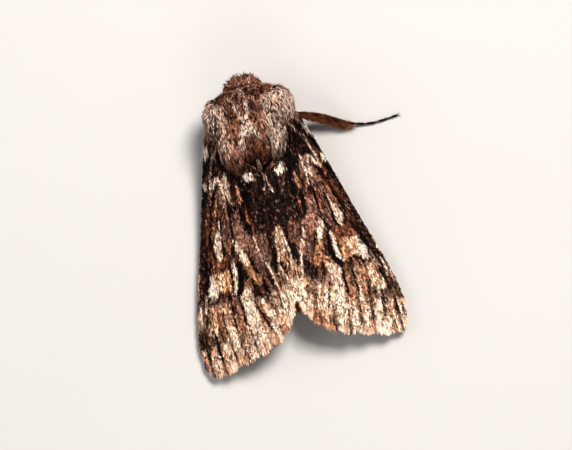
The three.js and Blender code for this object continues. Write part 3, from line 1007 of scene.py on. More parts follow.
TILE = tile_lock()
HAIR = spike_lock("hair", (0.0, 0.0, 1.0, 0.46))
TUFT = spike_lock("tuft", (0.0, 0.05, 1.0, 0.17), (-0.26, 0.12, 0.86, 0.15), (0.25, -0.06, 0.93, 0.15))
print("a tile has", triangles(TILE), "triangles, a hair", triangles(HAIR), "and a tuft", triangles(TUFT))

# %% [markdown]
# ## The coat tree
#
# One Geometry Nodes tree grows every coat. It scatters roots over a skin, turns a lock
# at each root to lie the way that the skin's "lie" attribute says, lifts it a little off
# the surface, and sways neighbouring locks together, as real fur clumps. Particle hair
# could be combed, but it isn't mesh, and this coat has to be.

# %% The coat's inputs
COAT_INPUTS = [
    # (name, kind, starting value)
    GEOMETRY,
    ("Lock", "NodeSocketObject"),
    ("Apart", NUMBER, 0.05),
    ("Per mm2", NUMBER, 100.0),
    ("Length", NUMBER, 0.3),
    ("Width", NUMBER, 0.1),
    ("Uneven", NUMBER, 0.25),
    ("Lift", NUMBER, 0.15),
    ("Stray", NUMBER, 0.1),
    ("Clump", NUMBER, 1.0),
    ("Clump turn", NUMBER, 0.2),
    ("Sway", NUMBER, 0.1),
    ("Tuft", NUMBER, 0.15),
    ("Tuft share", NUMBER, 0.5),
    ("Seed", COUNT, 1),
    FINISH,
]


def named(bench, attribute, kind="FLOAT"):
    return bench("GeometryNodeInputNamedAttribute", {"data_type": kind}, Name=attribute)


def store(bench, geometry, name, value, kind="FLOAT", domain="INSTANCE"):
    settings = {"data_type": kind, "domain": domain}
    return bench("GeometryNodeStoreNamedAttribute", settings, Geometry=geometry, Name=name, Value=value)


def chance(bench, given, low, high, draw):
    """A number between two others for each lock; each draw is another chance."""
    seed = bench.plus(given["Seed"], float(draw))
    return bench("FunctionNodeRandomValue", Min=low, Max=high, Seed=seed)


def waves(bench, place, size, over=1.0, detail=1.0):
    """Smooth noise whose bumps are as wide as size says."""
    near = bench.vector("SCALE", place, Scale=bench.math("DIVIDE", over, size))
    return bench("ShaderNodeTexNoise", Vector=near, Scale=1.0, Detail=detail)


# %% [markdown]
# A lock's turn has three parts. It yaws with its clump and a little by itself, it lifts
# off the skin, and it rolls. Its size is the coat's, made uneven by chance.


# %% How a lock stands
def lock_turn(bench, given, scatter, position):
    facing = bench(
        "FunctionNodeAxesToRotation", {"primary_axis": "Z", "secondary_axis": "Y"},
        Primary_Axis=scatter.outputs["Normal"], Secondary_Axis=named(bench, "lie", VECTOR),
    )
    clump = waves(bench, position, given["Clump"]).outputs["Color"]
    clump = bench("ShaderNodeSeparateXYZ", Vector=clump).outputs
    turned = bench.times(bench.minus(clump["X"], 0.5), 4.0)
    turned = bench.times(turned, given["Clump turn"])
    stray, other_way = given["Stray"], bench.times(given["Stray"], -1.0)
    yaw = bench.plus(turned, chance(bench, given, other_way, stray, 1))
    risen = bench.plus(0.3, bench.times(clump["Y"], 1.4))
    risen = bench.times(chance(bench, given, 0.5, 1.5, 2), risen)
    lift = bench.times(bench.times(given["Lift"], risen), named(bench, "rise"))
    widest = [bench.times(way, 1.5) for way in (other_way, stray)]
    roll = chance(bench, given, *widest, 3)
    turn = bench("FunctionNodeEulerToRotation", Euler=bench("ShaderNodeCombineXYZ", X=lift, Y=roll, Z=yaw))
    local = {"rotation_space": "LOCAL"}
    return bench("FunctionNodeRotateRotation", local, Rotation=facing, Rotate_By=turn)


def lock_size(bench, given):
    shortest = bench.minus(1.0, given["Uneven"])
    longest = bench.plus(1.0, given["Uneven"])
    size = named(bench, "size")
    stretch = bench.times(chance(bench, given, shortest, longest, 4), size)
    length = bench.times(given["Length"], stretch)
    width = bench.times(given["Width"], chance(bench, given, shortest, longest, 5))
    width = bench.times(width, size)
    return bench("ShaderNodeCombineXYZ", X=width, Y=length, Z=width)


# %% [markdown]
# Each lock keeps a tint, shared with its neighbours in one streak, for its finish to
# read. Its points sway sideways more the nearer they are to its tip. Its map is a tiny
# patch at its root's place on the skin's own map.

# %% What a lock carries
PATCH = 0.003  # how much of the coat's map one lock takes
STREAKED = (1.0, 0.4, 1.0)  # tufts of one shade are drawn out along the body


def lock_tint(bench, given, position):
    streaked = bench.vector("MULTIPLY", position, STREAKED)
    tuft = bench.minus(waves(bench, streaked, given["Tuft"], detail=0.0), 0.5)
    tuft = bench.times(bench.times(tuft, 3.0), given["Tuft share"])
    by_itself = bench.minus(1.0, given["Tuft share"])
    alone = bench.times(chance(bench, given, -0.5, 0.5, 6), by_itself)
    tint = bench.plus(0.5, bench.plus(tuft, alone))
    tint.use_clamp = True
    return tint


def lock_sway(bench, given):
    breeze = waves(bench, named(bench, "root", VECTOR), given["Clump"], over=2.5)
    way = bench.vector("SUBTRACT", breeze.outputs["Color"], (0.5, 0.5, 0.5))
    bent = bench.times(bench.math("POWER", named(bench, "along"), 1.7), given["Sway"])
    return bench.vector("SCALE", way, Scale=bent)


def lock_patch(bench):
    centred = bench.vector("SUBTRACT", named(bench, "patch", VECTOR), (0.5, 0.5, 0))
    patch = bench.vector("SCALE", centred, Scale=PATCH)
    return bench.vector("ADD", named(bench, "place", VECTOR), patch)


# %% [markdown]
# The tree itself then reads as a list: scatter, plant, tint, make real, sway, map, and
# finish. The scatter keeps roots a least distance apart, as real sockets are.


# %% The coat tree
def build_coat_tree():
    bench, given = new_tree("Coat", "GeometryNodeTree", COAT_INPUTS, GEOMETRY)
    position = bench("GeometryNodeInputPosition")
    scatter = bench(
        "GeometryNodeDistributePointsOnFaces", {"distribute_method": "POISSON"},
        Mesh=given["Geometry"], Distance_Min=given["Apart"], Density_Max=given["Per mm2"],
        Density_Factor=named(bench, "cover"), Seed=given["Seed"],
    )
    roots = store(bench, scatter.outputs["Points"], "root", position, VECTOR, "POINT")
    original = {"transform_space": "ORIGINAL"}
    lock = bench("GeometryNodeObjectInfo", original, Object=given["Lock"], As_Instance=True)
    planted = bench(
        "GeometryNodeInstanceOnPoints", Points=roots, Instance=lock.outputs["Geometry"],
        Rotation=lock_turn(bench, given, scatter, position), Scale=lock_size(bench, given),
    )
    planted = store(bench, planted, "tint", lock_tint(bench, given, position))
    planted = store(bench, planted, "luck", chance(bench, given, 0.0, 1.0, 7))
    real = bench("GeometryNodeRealizeInstances", Geometry=planted)
    swayed = bench("GeometryNodeSetPosition", Geometry=real, Offset=lock_sway(bench, given))
    mapped = store(bench, swayed, "OFBake", lock_patch(bench), "FLOAT2", "CORNER")
    return end_coat(bench, mapped, given)


COAT = build_coat_tree()
print("coat tree:", len(COAT.nodes), "nodes")

# %% [markdown]
# grow runs the tree on a skin. First coat_marks gives the skin what the tree asks for:
# "lie", "place" on the map, "cover" for how densely it is covered, "size" for how long
# its locks are and "rise" for how far they stand up. What only the tree needs is
# dropped from the finished coat.

# %% Growing a coat
SPARE = ("lie", "cover", "size", "rise", "root", "place", "patch")


def coat_marks(skin, lie, cover=1.0, size=1.0, rise=1.0, place=None):
    count = len(skin.data.vertices)
    if place is not None:
        mark(skin, "place", VECTOR, np.hstack([place, np.zeros((count, 1))]))
    mark(skin, "lie", VECTOR, lie)
    for name, value in (("cover", cover), ("size", size), ("rise", rise)):
        mark(skin, name, "FLOAT", np.broadcast_to(value, count))


def grow(name, skin, lock, finish, seed, **sizes):
    coat = run_tree(name, COAT, skin, Lock=lock, Finish=finish, Seed=seed, **sizes)
    for spare in SPARE:
        if spare in coat.data.attributes:
            coat.data.attributes.remove(coat.data.attributes[spare])
    return coat


# %% [markdown]
# ## The finish of scales
#
# A scale is a dry flake: dull, with a faint silky gleam along its ribs. Its colour is
# the pattern's where it grows, made a little lighter or darker by chance, and now and
# then it is a stray pale or dark one, which gives a moth its peppered look. Its root is
# painted darker than its tip, as painted shade from the scales that lie over it. A node
# group works this out once, and each finish places it with its own values.

# %% Shared scale colour
MOST_PALE = WHITE * 0.98
STRAY_PALE = tone(108, 89, 80)
SCALE_INPUTS = [
    ("Pattern", COLOUR, (0.5, 0.5, 0.5, 1)),
    ("Contrast", NUMBER, 0.5),
    ("Stray pale", NUMBER, 0.06),
    ("Stray dark", NUMBER, 0.08),
]


def scale_colour_group():
    bench, given = new_tree("Scale colour", "ShaderNodeTree", SCALE_INPUTS, ("Colour", COLOUR))
    luck = bench.attribute("luck")
    stops = bench.times(bench.minus(bench.attribute("tint"), 0.5), given["Contrast"])
    # painted shade: darker at the root, lighter towards the tip
    painted_scale_shade = bench.plus(0.45, bench.times(bench.attribute("along"), 0.7))
    value = bench.times(bench.math("POWER", 2.0, stops), painted_scale_shade)
    colour = bench.shaded(given["Pattern"], value)
    colour = bench.blend(1.0, colour, (*MOST_PALE, 1), "DARKEN")
    red = bench("ShaderNodeSeparateColor", Color=given["Pattern"]).outputs["Red"]
    not_black = bench("ShaderNodeMapRange", Value=red, From_Min=0.001, From_Max=0.014)
    pale = bench.times(bench.math("LESS_THAN", luck, given["Stray pale"]), not_black)
    colour = bench.blend(pale, colour, (*STRAY_PALE, 1), "ADD")
    dark = bench.math("GREATER_THAN", luck, bench.minus(1.0, given["Stray dark"]))
    return end_tree(bench, bench.blend(bench.times(dark, 0.8), colour, (*(SOOT * 0.7), 1)))


SCALE_COLOUR = scale_colour_group()
print("scale colour group:", len(SCALE_COLOUR.nodes), "nodes")


# %% [markdown]
# The wing's own scales vary more in tone than those of the fringe, which are paler and
# more alike.


# %% Scale finishes
def scale_finish(name, contrast, stray_pale, stray_dark, roughness, gleam):
    material, shader, bench = new_finish(name)
    colour = bench(
        "ShaderNodeGroup", {"node_tree": SCALE_COLOUR}, Pattern=bench.attribute("pattern", "Color"),
        Contrast=contrast, Stray_pale=stray_pale, Stray_dark=stray_dark,
    )
    rough = bench.plus(roughness - 0.1, bench.times(bench.attribute("tint"), 0.2))
    bench.fill(shader, Base_Color=colour, Roughness=rough, Specular_IOR_Level=gleam)
    return material


WING_SCALES = scale_finish("wing scales", 3.3, 0.08, 0.2, 0.6, 0.05)
FRINGE_SCALES = scale_finish("fringe scales", 1.6, 0.12, 0.12, 0.6, 0.05)
print("made", WING_SCALES.name, "and", FRINGE_SCALES.name)

# %% [markdown]
# ## The finish under a coat
#
# Under its scales the wing is a thin brown film with rows of tiny sockets, and under its
# hair the body is dark leathery skin. Little of either shows, but where the coat parts it
# must not look like a gap. So both carry the pattern too, darkened as painted shade of the
# coat's depths, with a fine bump.


# %% Membrane and skin
def under_finish(name, grain, painted_depth_shade, roughness, gleam, bump):
    """grain is (scale, detail), dim is (darkest, how much lighter), bump is (strength, depth)."""
    material, shader, bench = new_finish(name)
    pores = bench.pores(*grain)
    # painted shade: the pattern is darkened for the shade under the coat
    value = bench.plus(painted_depth_shade[0], bench.times(pores, painted_depth_shade[1]))
    colour = bench.shaded(bench.attribute("pattern", "Color"), value)
    relief = bench("ShaderNodeBump", Strength=bump[0], Distance=bump[1], Height=pores)
    bench.fill(shader, Base_Color=colour, Roughness=roughness, Specular_IOR_Level=gleam, Normal=relief)
    return material


MEMBRANE = under_finish("wing membrane", (9000.0, 2.0), (0.3, 0.5), 0.6, 0.5, (0.4, 0.00004))
BODY_SKIN = under_finish("body skin", (7000.0, 3.0), (0.03, 0.1), 0.8, 0.1, (0.5, 0.00005))
print("finishes so far:", [m.name for m in bpy.data.materials])

# %% [markdown]
# ## Scaling the forewings
#
# The upper side gets tiles in close ranks. Each one covers the roots of the next, so the
# membrane is hidden. The underside is seen little, and has fewer and larger ones.

# %% Wing coats
map_a, map_b = grid(WING_ROWS, WING_COLUMNS, (0.01, 0.99), (0.01, 0.99))
both_sides = np.tile(np.stack([map_a, map_b], -1), (2, 1))
WING_TILES = dict(
    Apart=0.052, Per_mm2=340.0, Length=0.3, Width=0.11, Uneven=0.3,
    Lift=0.2, Stray=0.2, Clump=0.5, Clump_turn=0.14, Sway=0.06,
)
UNDER_TILES = dict(
    Apart=0.085, Per_mm2=120.0, Length=0.42, Width=0.16, Uneven=0.2,
    Lift=0.12, Stray=0.15, Clump=0.7, Clump_turn=0.1, Sway=0.04,
)


def grow_on_wing(name, side, cover, size, lock, finish, seed, **sizes):
    skin = forewing_skins[side]
    coat_marks(skin, marked(skin, "lie"), cover, size, place=both_sides)
    return grow(f"{name}_{side}", skin, lock, finish, seed, **sizes)


wing_coats = []
for seed, side in enumerate(SIDES, start=5):
    top = marked(forewing_skins[side], "top")
    for name, cover, draw, tiles in (
        ("forewing_scales", top, seed, WING_TILES),
        ("forewing_underside", 1 - top, seed + 10, UNDER_TILES),
    ):
        wing_coats.append(grow_on_wing(name, side, cover, 1.0, TILE, WING_SCALES, draw, **tiles))
print("wing coats:", [coat.name for coat in wing_coats])

# %% [markdown]
# ## The fringe
#
# Along the outer margin stands a fringe of long narrow scales in two or three ranks. It
# bulges a little between the veins' ends, so the margin looks softly toothed. The coat
# tree grows it too, with cover only near the margin.

# %% Fringe
FRINGE_TEETH = 7
FRINGE_TILES = dict(
    Apart=0.03, Per_mm2=900.0, Length=0.72, Width=0.075, Uneven=0.25,
    Lift=0.06, Stray=0.14, Clump=0.5, Clump_turn=0.14, Sway=0.1,
)
fringe_cover = np.tile(ramp(wing_b, 0.945, 0.985), 2)
fringe_size = np.tile(0.78 + 0.3 * np.abs(np.sin(FRINGE_TEETH * np.pi * wing_a)), 2)
fringe_size *= 1 - 0.5 * np.tile(ramp(0.14 - wing_a, 0, 0.1), 2)
for seed, side in enumerate(SIDES, start=25):
    fringe = ("forewing_fringe", side, fringe_cover, fringe_size, TILE, FRINGE_SCALES, seed)
    wing_coats.append(grow_on_wing(*fringe, **FRINGE_TILES))

# %% [markdown]
# ## Hair on the wings' roots
#
# Long hair grows on the first few millimetres of each forewing and along its front edge,
# and hides where the wing leaves the thorax.

# %% Wing-root hair
ROOT_HAIRS = dict(
    Apart=0.06, Per_mm2=260.0, Length=0.75, Width=0.1, Uneven=0.3,
    Lift=0.22, Stray=0.25, Clump=0.5, Clump_turn=0.25, Sway=0.3,
)
root_cover = np.concatenate([ramp(0.2 - wing_b, 0, 0.12), 0 * wing_b])
rim_cover = 0.5 * ramp(wing_a, 0.95, 0.985) * ramp(wing_b, 0.1, 0.2) * ramp(0.62 - wing_b, 0, 0.2)
rim_cover = np.tile(rim_cover, 2)
hair_cover = np.maximum(root_cover, rim_cover)
hair_size = np.where(root_cover > rim_cover, 1.0, 0.6)
for seed, side in enumerate(SIDES, start=45):
    hair = ("wing_root_hair", side, hair_cover, hair_size, HAIR, WING_SCALES, seed)
    wing_coats.append(grow_on_wing(*hair, **ROOT_HAIRS))

for side, skin in forewing_skins.items():
    skin.data.materials.append(MEMBRANE)
    finish_piece(skin, "wing", f"forewing_{side}")
for coat in wing_coats:
    finish_piece(coat, "wing")

# %% [markdown]
# ## Hindwings
#
# The hindwings lie folded under the forewings. They are plain: a pale dusty fan with
# darker veins and a brown border. They are made as the forewings are, as thin closed
# shells with a thin coat of wide scales, because they show only at the notch and from
# below.

# %% Hindwing skins
HIND_ROWS, HIND_COLUMNS = 90, 50
HIND_DROP = 0.8  # below the roof of the forewings
HIND_TILES = dict(
    Apart=0.1, Per_mm2=90.0, Length=0.42, Width=0.17, Uneven=0.2,
    Lift=0.1, Stray=0.15, Clump=0.7, Clump_turn=0.1, Sway=0.04,
)


def hindwing_colours(number, y, b):
    near_vein = np.abs(number - np.round(number))
    return lay_all(
        np.tile(PALE * 0.62 + VIOLET * 0.3, (len(y), 1)),
        (VIOLET * 0.8, 0.6 * ramp(speckle(number * 6, y * 1.5, 71), 0.4, 0.8)),
        (BROWN, 0.6 * ramp(0.12 - near_vein, 0, 0.08)),
        (BROWN, 0.7 * ramp(b, 0.78, 0.95)),
    )


def hindwing_skin(side):
    a, b = grid(HIND_ROWS, HIND_COLUMNS, (0.01, 0.99))
    reach = 0.86 - 0.3 * (a - 0.45) ** 2
    x, y = wing_plan(0.07 + 0.73 * a, 0.18 + (reach - 0.2) * b).T
    away = roof_normal(x, y)
    number = vein_number(x, y)
    pleat = 0.08 * (0.5 + 0.5 * np.cos(2 * np.pi * number))
    top = np.stack([x, y, roof_height(x, y)], -1) - away * (HIND_DROP + 0.2 - pleat)[:, None]
    obj = make_shell(f"hindwing_skin_{side}", top, away, side, HIND_ROWS, HIND_COLUMNS)
    mark_colour(obj, np.tile(hindwing_colours(number, y, b), (2, 1)))
    upper = np.stack([0.01 + 0.98 * a, 0.01 + 0.98 * b], -1) * [1, 0.5]
    coat_marks(obj, lie_along_veins(x, y, away, side), place=np.concatenate([upper, upper + [0, 0.5]]))
    return obj


for side in SIDES:
    skin = hindwing_skin(side)
    coat = grow(f"hindwing_scales_{side}", skin, TILE, FRINGE_SCALES, 33, **HIND_TILES)
    skin.data.materials.append(MEMBRANE)
    finish_piece(skin, "hindwing", f"hindwing_{side}")
    finish_piece(coat, "hindwing")

# %% [markdown]
# ## The body's skin
#
# Head, collar, thorax, shoulder plates and abdomen touch one another under the fur, with
# no seam to be seen. So each is made as a swollen form a coat's depth smaller than its
# solid, and all of them are melted into one skin by remeshing. The abdomen keeps the
# soft rings of its segments.


# %% Forms of the body
def swollen(centre, radii, rows=18, sides=28):
    """An egg-shaped closed form: its points and its faces."""
    tilt = np.linspace(0, np.pi, rows + 1)[1:-1]
    turn = around(sides)
    ring = np.stack(
        [
            np.outer(np.sin(tilt), np.cos(turn)),
            np.repeat(np.cos(tilt)[:, None], sides, 1),
            np.outer(np.sin(tilt), -np.sin(turn)),
        ],
        -1,
    ).reshape(-1, 3)
    points = np.concatenate([ring, [[0, 1, 0], [0, -1, 0]]]) * radii + centre
    return points, tube_faces(rows - 1, sides)


def tube_faces(rings, sides):
    """Faces between rings of points, closed by one point before the first and one after the last."""
    faces = []
    for side in range(sides):
        after = (side + 1) % sides
        for ring in range(rings - 1):
            here, there = ring * sides, (ring + 1) * sides
            faces.append((here + side, here + after, there + after, there + side))
        last = (rings - 1) * sides
        faces.append((rings * sides, after, side))
        faces.append((rings * sides + 1, last + side, last + after))
    return faces


# %% [markdown]
# The abdomen is eight rings that swell and shrink along a drooping line. Its radius is a
# formula too: a long swell, a taper, and a small dip at each joint.

# %% The abdomen
ABDOMEN_FRONT, ABDOMEN_REAR = -3.9, -15.4
ABDOMEN_RINGS = 8


def abdomen_radius(share):
    """Half the abdomen's width at a share of its length, with a dip between segments."""
    swell = 1.1 + 0.75 * np.sin(np.pi * np.minimum(1, share * 1.25) ** 0.8)
    taper = 1 - 0.45 * share**3
    ring = 1 - 0.06 * (1 - np.abs(np.sin(np.pi * ABDOMEN_RINGS * share)))
    return swell * taper * ring


def abdomen_form(rings=72, sides=36):
    share = np.linspace(0, 1, rings)
    turn = around(sides)
    radius = abdomen_radius(share) * 0.93
    y = ABDOMEN_FRONT + (ABDOMEN_REAR - ABDOMEN_FRONT) * share
    z = 2.65 - 0.45 * share
    x = np.outer(radius, np.cos(turn))
    height = z[:, None] + np.outer(radius, -np.sin(turn)) * 0.8
    ring = np.stack([x, np.repeat(y[:, None], sides, 1), height], -1).reshape(-1, 3)
    ends = [[0, y[0] + 0.3, z[0]], [0, y[-1] - 0.4, z[-1]]]
    return np.concatenate([ring, ends]), tube_faces(rings, sides)


# %% [markdown]
# The other parts are eggs. They overlap, so the remesh can melt them together, and a few
# rounds of smoothing then fill the creases between them as skin does.

# %% The body's parts, melted together
BODY_PARTS = {
    # name: (centre, radii), a coat's depth inside the solids
    "thorax": ((0, -1.3, 4.05), (2.75, 2.75, 2.85)),
    "tegula_left": ((-2.5, 0.35, 4.5), (1.25, 1.75, 1.75)),
    "tegula_right": ((2.5, 0.5, 4.5), (1.25, 1.55, 1.75)),
    "back_left": ((-1.9, -1.75, 5.1), (1.15, 2.3, 1.3)),
    "back_right": ((1.38, -1.5, 5.15), (1.0, 2.15, 1.3)),
    "thorax_crest": ((-0.25, -2.0, 6.0), (0.5, 1.1, 0.62)),
    "scutellum": ((-0.2, -3.95, 5.85), (0.12, 0.75, 0.22)),
    "collar": ((0, 1.2, 4.5), (3.0, 1.45, 1.9)),
    "head": ((0, 2.3, 3.75), (1.3, 1.0, 1.35)),
    "brow": ((-0.05, 2.65, 4.55), (1.15, 0.62, 0.5)),
    "tail_tuft": ((0, -15.0, 2.1), (0.7, 0.7, 0.5)),
}


def fuse(name, forms, voxel, rounds):
    """Melts closed forms into one closed skin."""
    rough = make_mesh(name, *joined(forms))
    melt = rough.modifiers.new("melt", "REMESH")
    melt.mode = "VOXEL"
    melt.voxel_size = voxel
    soften = rough.modifiers.new("soften", "SMOOTH")
    soften.iterations = rounds
    view = bpy.context.evaluated_depsgraph_get()
    melted = bpy.data.meshes.new_from_object(rough.evaluated_get(view))
    rough.modifiers.clear()
    rough.data = melted
    rough.data.shade_smooth()
    return rough


BODY_VOXEL = 0.1
forms = [swollen(*part) for part in BODY_PARTS.values()] + [abdomen_form()]
body_skin = fuse("body_skin", forms, BODY_VOXEL, 12)
print("body skin:", len(body_skin.data.polygons), "faces")

# %% [markdown]
# ## Which part a point is on
#
# Each region of the body has its own fur, so each point of the skin is told which part
# it is on. It is the part whose egg it is nearest to, counted in that egg's own radii.

# %% Regions
body_points = of_vertices(body_skin, "co")
body_normals = of_vertices(body_skin, "normal")
px, py, pz = body_points.T


def nearness(centre, radii):
    return np.linalg.norm((body_points - centre) / radii, axis=1)


closeness = {name: nearness(*part) for name, part in BODY_PARTS.items()}
closeness["abdomen"] = np.where(py < -4.4, 0.2, 9.0)
PART_NAMES = list(closeness)
body_part = np.argmin(np.stack([closeness[n] for n in PART_NAMES]), 0)


def is_part(*names):
    return np.isin(body_part, [PART_NAMES.index(n) for n in names])


for part_name in PART_NAMES:
    print(part_name, is_part(part_name).sum(), "points")

# %% [markdown]
# ## The lie of the body's fur
#
# Fur lies back from the face to the tail. On the head it parts from the crown: forwards
# over the brow, down over the face and cheeks. On the shoulder plates it runs back over
# the wings' roots, and at the waist it turns down.


# %% Lie of the fur
def along_surface(ways, normals):
    """Lays directions down flat on the surface."""
    flat = ways - normals * np.sum(ways * normals, axis=1, keepdims=True)
    return flat / np.maximum(np.linalg.norm(flat, axis=1, keepdims=True), 1e-6)


CROWN = np.array([0, 1.7, 5.9])
on_scutellum = is_part("scutellum")
backwards = np.tile([0.0, -1.0, 0.0], (len(body_points), 1))
backwards[:, 0] += 0.15 * np.sign(px) * ramp(np.abs(px), 1.5, 3.2) * ramp(py, -1, 2)
backwards[:, 0] -= 0.25 * np.sign(px + 0.3) * ramp(-py, 1.5, 3.5) * ramp(py, -5, -4)
backwards[:, 2] -= 0.35 * ramp(4.5 - pz, 0, 3) * ramp(py, -5, -3)
backwards[:, 2] += 1.3 * ramp(body_normals[:, 1], 0.1, 0.9) * ramp(pz, 3.0, 4.2) * (py < 2.4)
from_crown = body_points - CROWN
from_crown /= np.linalg.norm(from_crown, axis=1, keepdims=True)
face_share = ramp(py + 0.25 * (5.6 - pz), 2.1, 2.7)[:, None] * ~is_part("collar")[:, None]
body_lie = along_surface(backwards * (1 - face_share) + from_crown * face_share, body_normals)
print("the fur's lie is set at", len(body_lie), "points")

# %% [markdown]
# ## The colour of the body's fur
#
# It changes from rusty black-brown on the head to pinkish grey on the shoulders, with
# two pale tufts behind the collar and a dark crest in the middle. It is laid as the
# wings' pattern is: a ground first, then streaks and soft round spots over it. A mark
# is shifted by a hair's reach, because a hair shows its colour behind its root.

# %% Brushes for the body
HAIR_REACH = 0.35  # a hair shows this far behind its root
seen_y = py - HAIR_REACH * ramp(2.5 - py, 0, 1)


def spot(x, y, width, length):
    """A soft round mark seen from above."""
    return np.exp(-(((px - x) / width) ** 2) - ((seen_y - y) / length) ** 2)


def streak_on_body(line, width):
    gap, _ = distance_to_line(np.stack([px, seen_y], -1), smooth_line(line, 24))
    return ramp(width - gap, -0.12, 0.12)


# %% [markdown]
# The thorax is greyish brown, paler and ashy on the outer sides, browner in the middle
# and at the ends of the two back lobes. Its right side is painted paler still, with less
# brown, as painted light from the key lamp on that side.

# %% Ground of the thorax
grain = speckle(px * 3, py * 1.2, 41)
fine = speckle(px * 8, py * 3, 42)
FUR_ASH = tone(255, 230, 212)
FUR_GREY = tone(238, 194, 168)
FUR_BROWN = tone(190, 124, 92)
FUR_DARK = tone(154, 97, 76)
body_colours = np.tile(FUR_BROWN * 0.4 + FUR_GREY * 0.6, (len(body_points), 1))
# painted light: the right side, towards the key lamp, is painted paler and less brown
painted_light_right = ramp(px, 0.2, 1.4)
# the outer sides are ashy by colour, and the right one is made paler still by painted light
ashy_sides_and_painted_light = ramp(np.abs(px + 0.2) + 0.8 * (grain - 0.5) + 0.8 * painted_light_right, 1.4, 2.6)
middle = ramp(1.7 - np.abs(px + 0.5) + 0.5 * (grain - 0.5), 0, 0.7) * ramp(2.0 - py, 0, 1)
lobe_ends = ramp(-py + 0.5 * (grain - 0.5), 2.2, 3.4) * ramp(py, -4.6, -4.2)
body_colours = lay_all(
    body_colours,
    (FUR_ASH, 0.9 * ashy_sides_and_painted_light * ramp(py + 0.7 * painted_light_right, -3.2, -1.5)),
    (FUR_BROWN, (0.6 - 0.35 * painted_light_right) * ramp(grain, 0.45, 0.8)),
    (FUR_BROWN * (0.75 - 0.3 * ramp(py, -0.6, 1))[:, None], 0.9 * middle),
    (FUR_BROWN * 0.75, 0.85 * lobe_ends),
)
print("thorax ground laid")

# %% [markdown]
# The head and the collar's front are darker, with fine pale and sooty strands.

# %% Ground of the head
brow = ramp(seen_y + 0.35 * (5 - pz) - 0.26 * (px + 0.1) ** 2 + 0.6 * (grain - 0.5), -0.3, 0.6)
body_colours = lay_all(
    body_colours,
    (FUR_DARK, 0.95 * brow),
    # painted light: on the lit right side the pale and sooty strands are thinned
    (FUR_GREY, (0.5 + 0.45 * brow - 0.4 * painted_light_right) * ramp(fine, 0.57, 0.7)),
    (SOOT * 0.7, (0.7 + 0.3 * brow - 0.3 * painted_light_right) * ramp(fine, 0.4, 0.3)),
    (SOOT, 0.7 * spot(-0.4, 1.4, 0.8, 0.35)),
)
print("head ground laid")

# %% [markdown]
# The pale lines are tufts with a rusty edge. The spots are, from front to back, the pale
# tuft's middle, the crest's dark front, its rust, and the black behind it.

# %% Marks on the thorax and head
PALE_LINES = (
    # (points from front to back, half width)
    ([(-1.0, 1.0), (-0.85, 0.5), (-0.6, -0.3)], 0.22),
    ([(0.0, 1.05), (-0.1, 0.5), (-0.35, -0.3)], 0.22),
    ([(-0.3, 2.65), (-0.22, 2.3), (-0.3, 1.95)], 0.12),
    ([(-0.55, -0.7), (-0.85, -1.2), (-1.1, -1.8), (-1.15, -2.4)], 0.24),
    ([(-0.15, -0.7), (0.1, -1.2), (0.3, -1.8)], 0.2),
)
for line, width in PALE_LINES:
    rusty_edge = (RUST * 0.6 + FUR_DARK * 0.4, 0.7 * streak_on_body(line, width + 0.2))
    body_colours = lay_all(body_colours, rusty_edge, (FUR_ASH, streak_on_body(line, width)))
body_colours = lay_all(
    body_colours,
    (FUR_ASH, 1.3 * spot(-0.4, -0.8, 0.3, 0.75)),
    (SOOT, 0.9 * spot(-0.35, -1.8, 0.32, 0.28)),
    (RUST * 0.6 + FUR_BROWN * 0.3, 0.85 * spot(-0.35, -2.7, 0.9, 0.6)),
    (BLACK, 0.9 * spot(-0.35, -3.5, 0.75, 0.7)),
    (PALE * 0.5 + TAN * 0.5, on_scutellum),
    # painted highlight: a pale band over the top front of the brow tuft
    (PALE, 1.1 * spot(0.1, 3.25, 0.6, 0.16)),
    (FUR_BROWN, 0.7 * spot(-1.3, 3.1, 0.3, 0.3)),
)
print("marks laid:", len(PALE_LINES), "pale lines")

# %% [markdown]
# Dark strands run over the shoulder lobes' ends. The abdomen is brown with a rusty band
# on each ring, and the belly is plain.

# %% Lobes, abdomen and belly
lobe_rims = ramp(-py, 3.4, 4.1) * ramp(py, -4.6, -4.2)
dark_strands = ramp(speckle(px * 3.5, py * 0.7, 43), 0.5, 0.65) * ramp(-py, 2.4, 3.4) * ramp(py, -4.6, -4.2)
tail = ramp(-py, 4.2, 5.0)
abdomen_share = (py - ABDOMEN_FRONT) / (ABDOMEN_FRONT - ABDOMEN_REAR)
band = ramp(np.cos(2 * np.pi * ABDOMEN_RINGS * abdomen_share), 0.2, 0.9)
tail_colour = (BROWN * 0.7 + TAN * 0.3) * (1 - 0.35 * band)[:, None] + RUST * (0.15 * band)[:, None]
belly = ramp(3.4 - pz, 0, 1.2) * (1 - tail)
body_colours = lay_all(
    body_colours,
    (SOOT, 0.6 * lobe_rims),
    (SOOT, 0.8 * dark_strands * ~on_scutellum),
    (tail_colour, tail),
    (BROWN * 0.6 + VIOLET * 0.4, belly),
)
mark_colour(body_skin, body_colours)
print("colours on", len(body_colours), "points")

# %% [markdown]
# ## The body's map
#
# The skin's map is found by unrolling it about its spine, as a label comes off a bottle.
# An automatic unwrap would cut it in islands. Faces over the join run past the map's
# edge together.

# %% Map of the body
SPINE_FRONT, SPINE_REAR, CAP = 1.6, -14.6, 1.6
CAP_RUN = 2.6  # how far each rounded cap reaches on the map
ROLL_START, ROLL_WIDTH = 0.02, 0.95  # one turn on the map


def capsule_map(points):
    """Unrolls the body about its spine; the two ends are unrolled over rounded caps."""
    x, y, z = points.T
    spine = np.interp(-y, [-2, 0, 4, 14], [4.0, 4.1, 3.2, 2.2])
    radial = np.hypot(x, z - spine)
    front = SPINE_FRONT + CAP * np.arctan2(y - SPINE_FRONT, radial)
    rear = SPINE_REAR - CAP * np.arctan2(SPINE_REAR - y, radial)
    run = np.where(y > SPINE_FRONT, front, np.where(y < SPINE_REAR, rear, y))
    low, high = SPINE_REAR - CAP_RUN, SPINE_FRONT + CAP_RUN
    turn = np.arctan2(x, z - spine) / (2 * np.pi) + 0.5
    return np.stack([ROLL_START + ROLL_WIDTH * turn, (run - low) / (high - low)], -1)


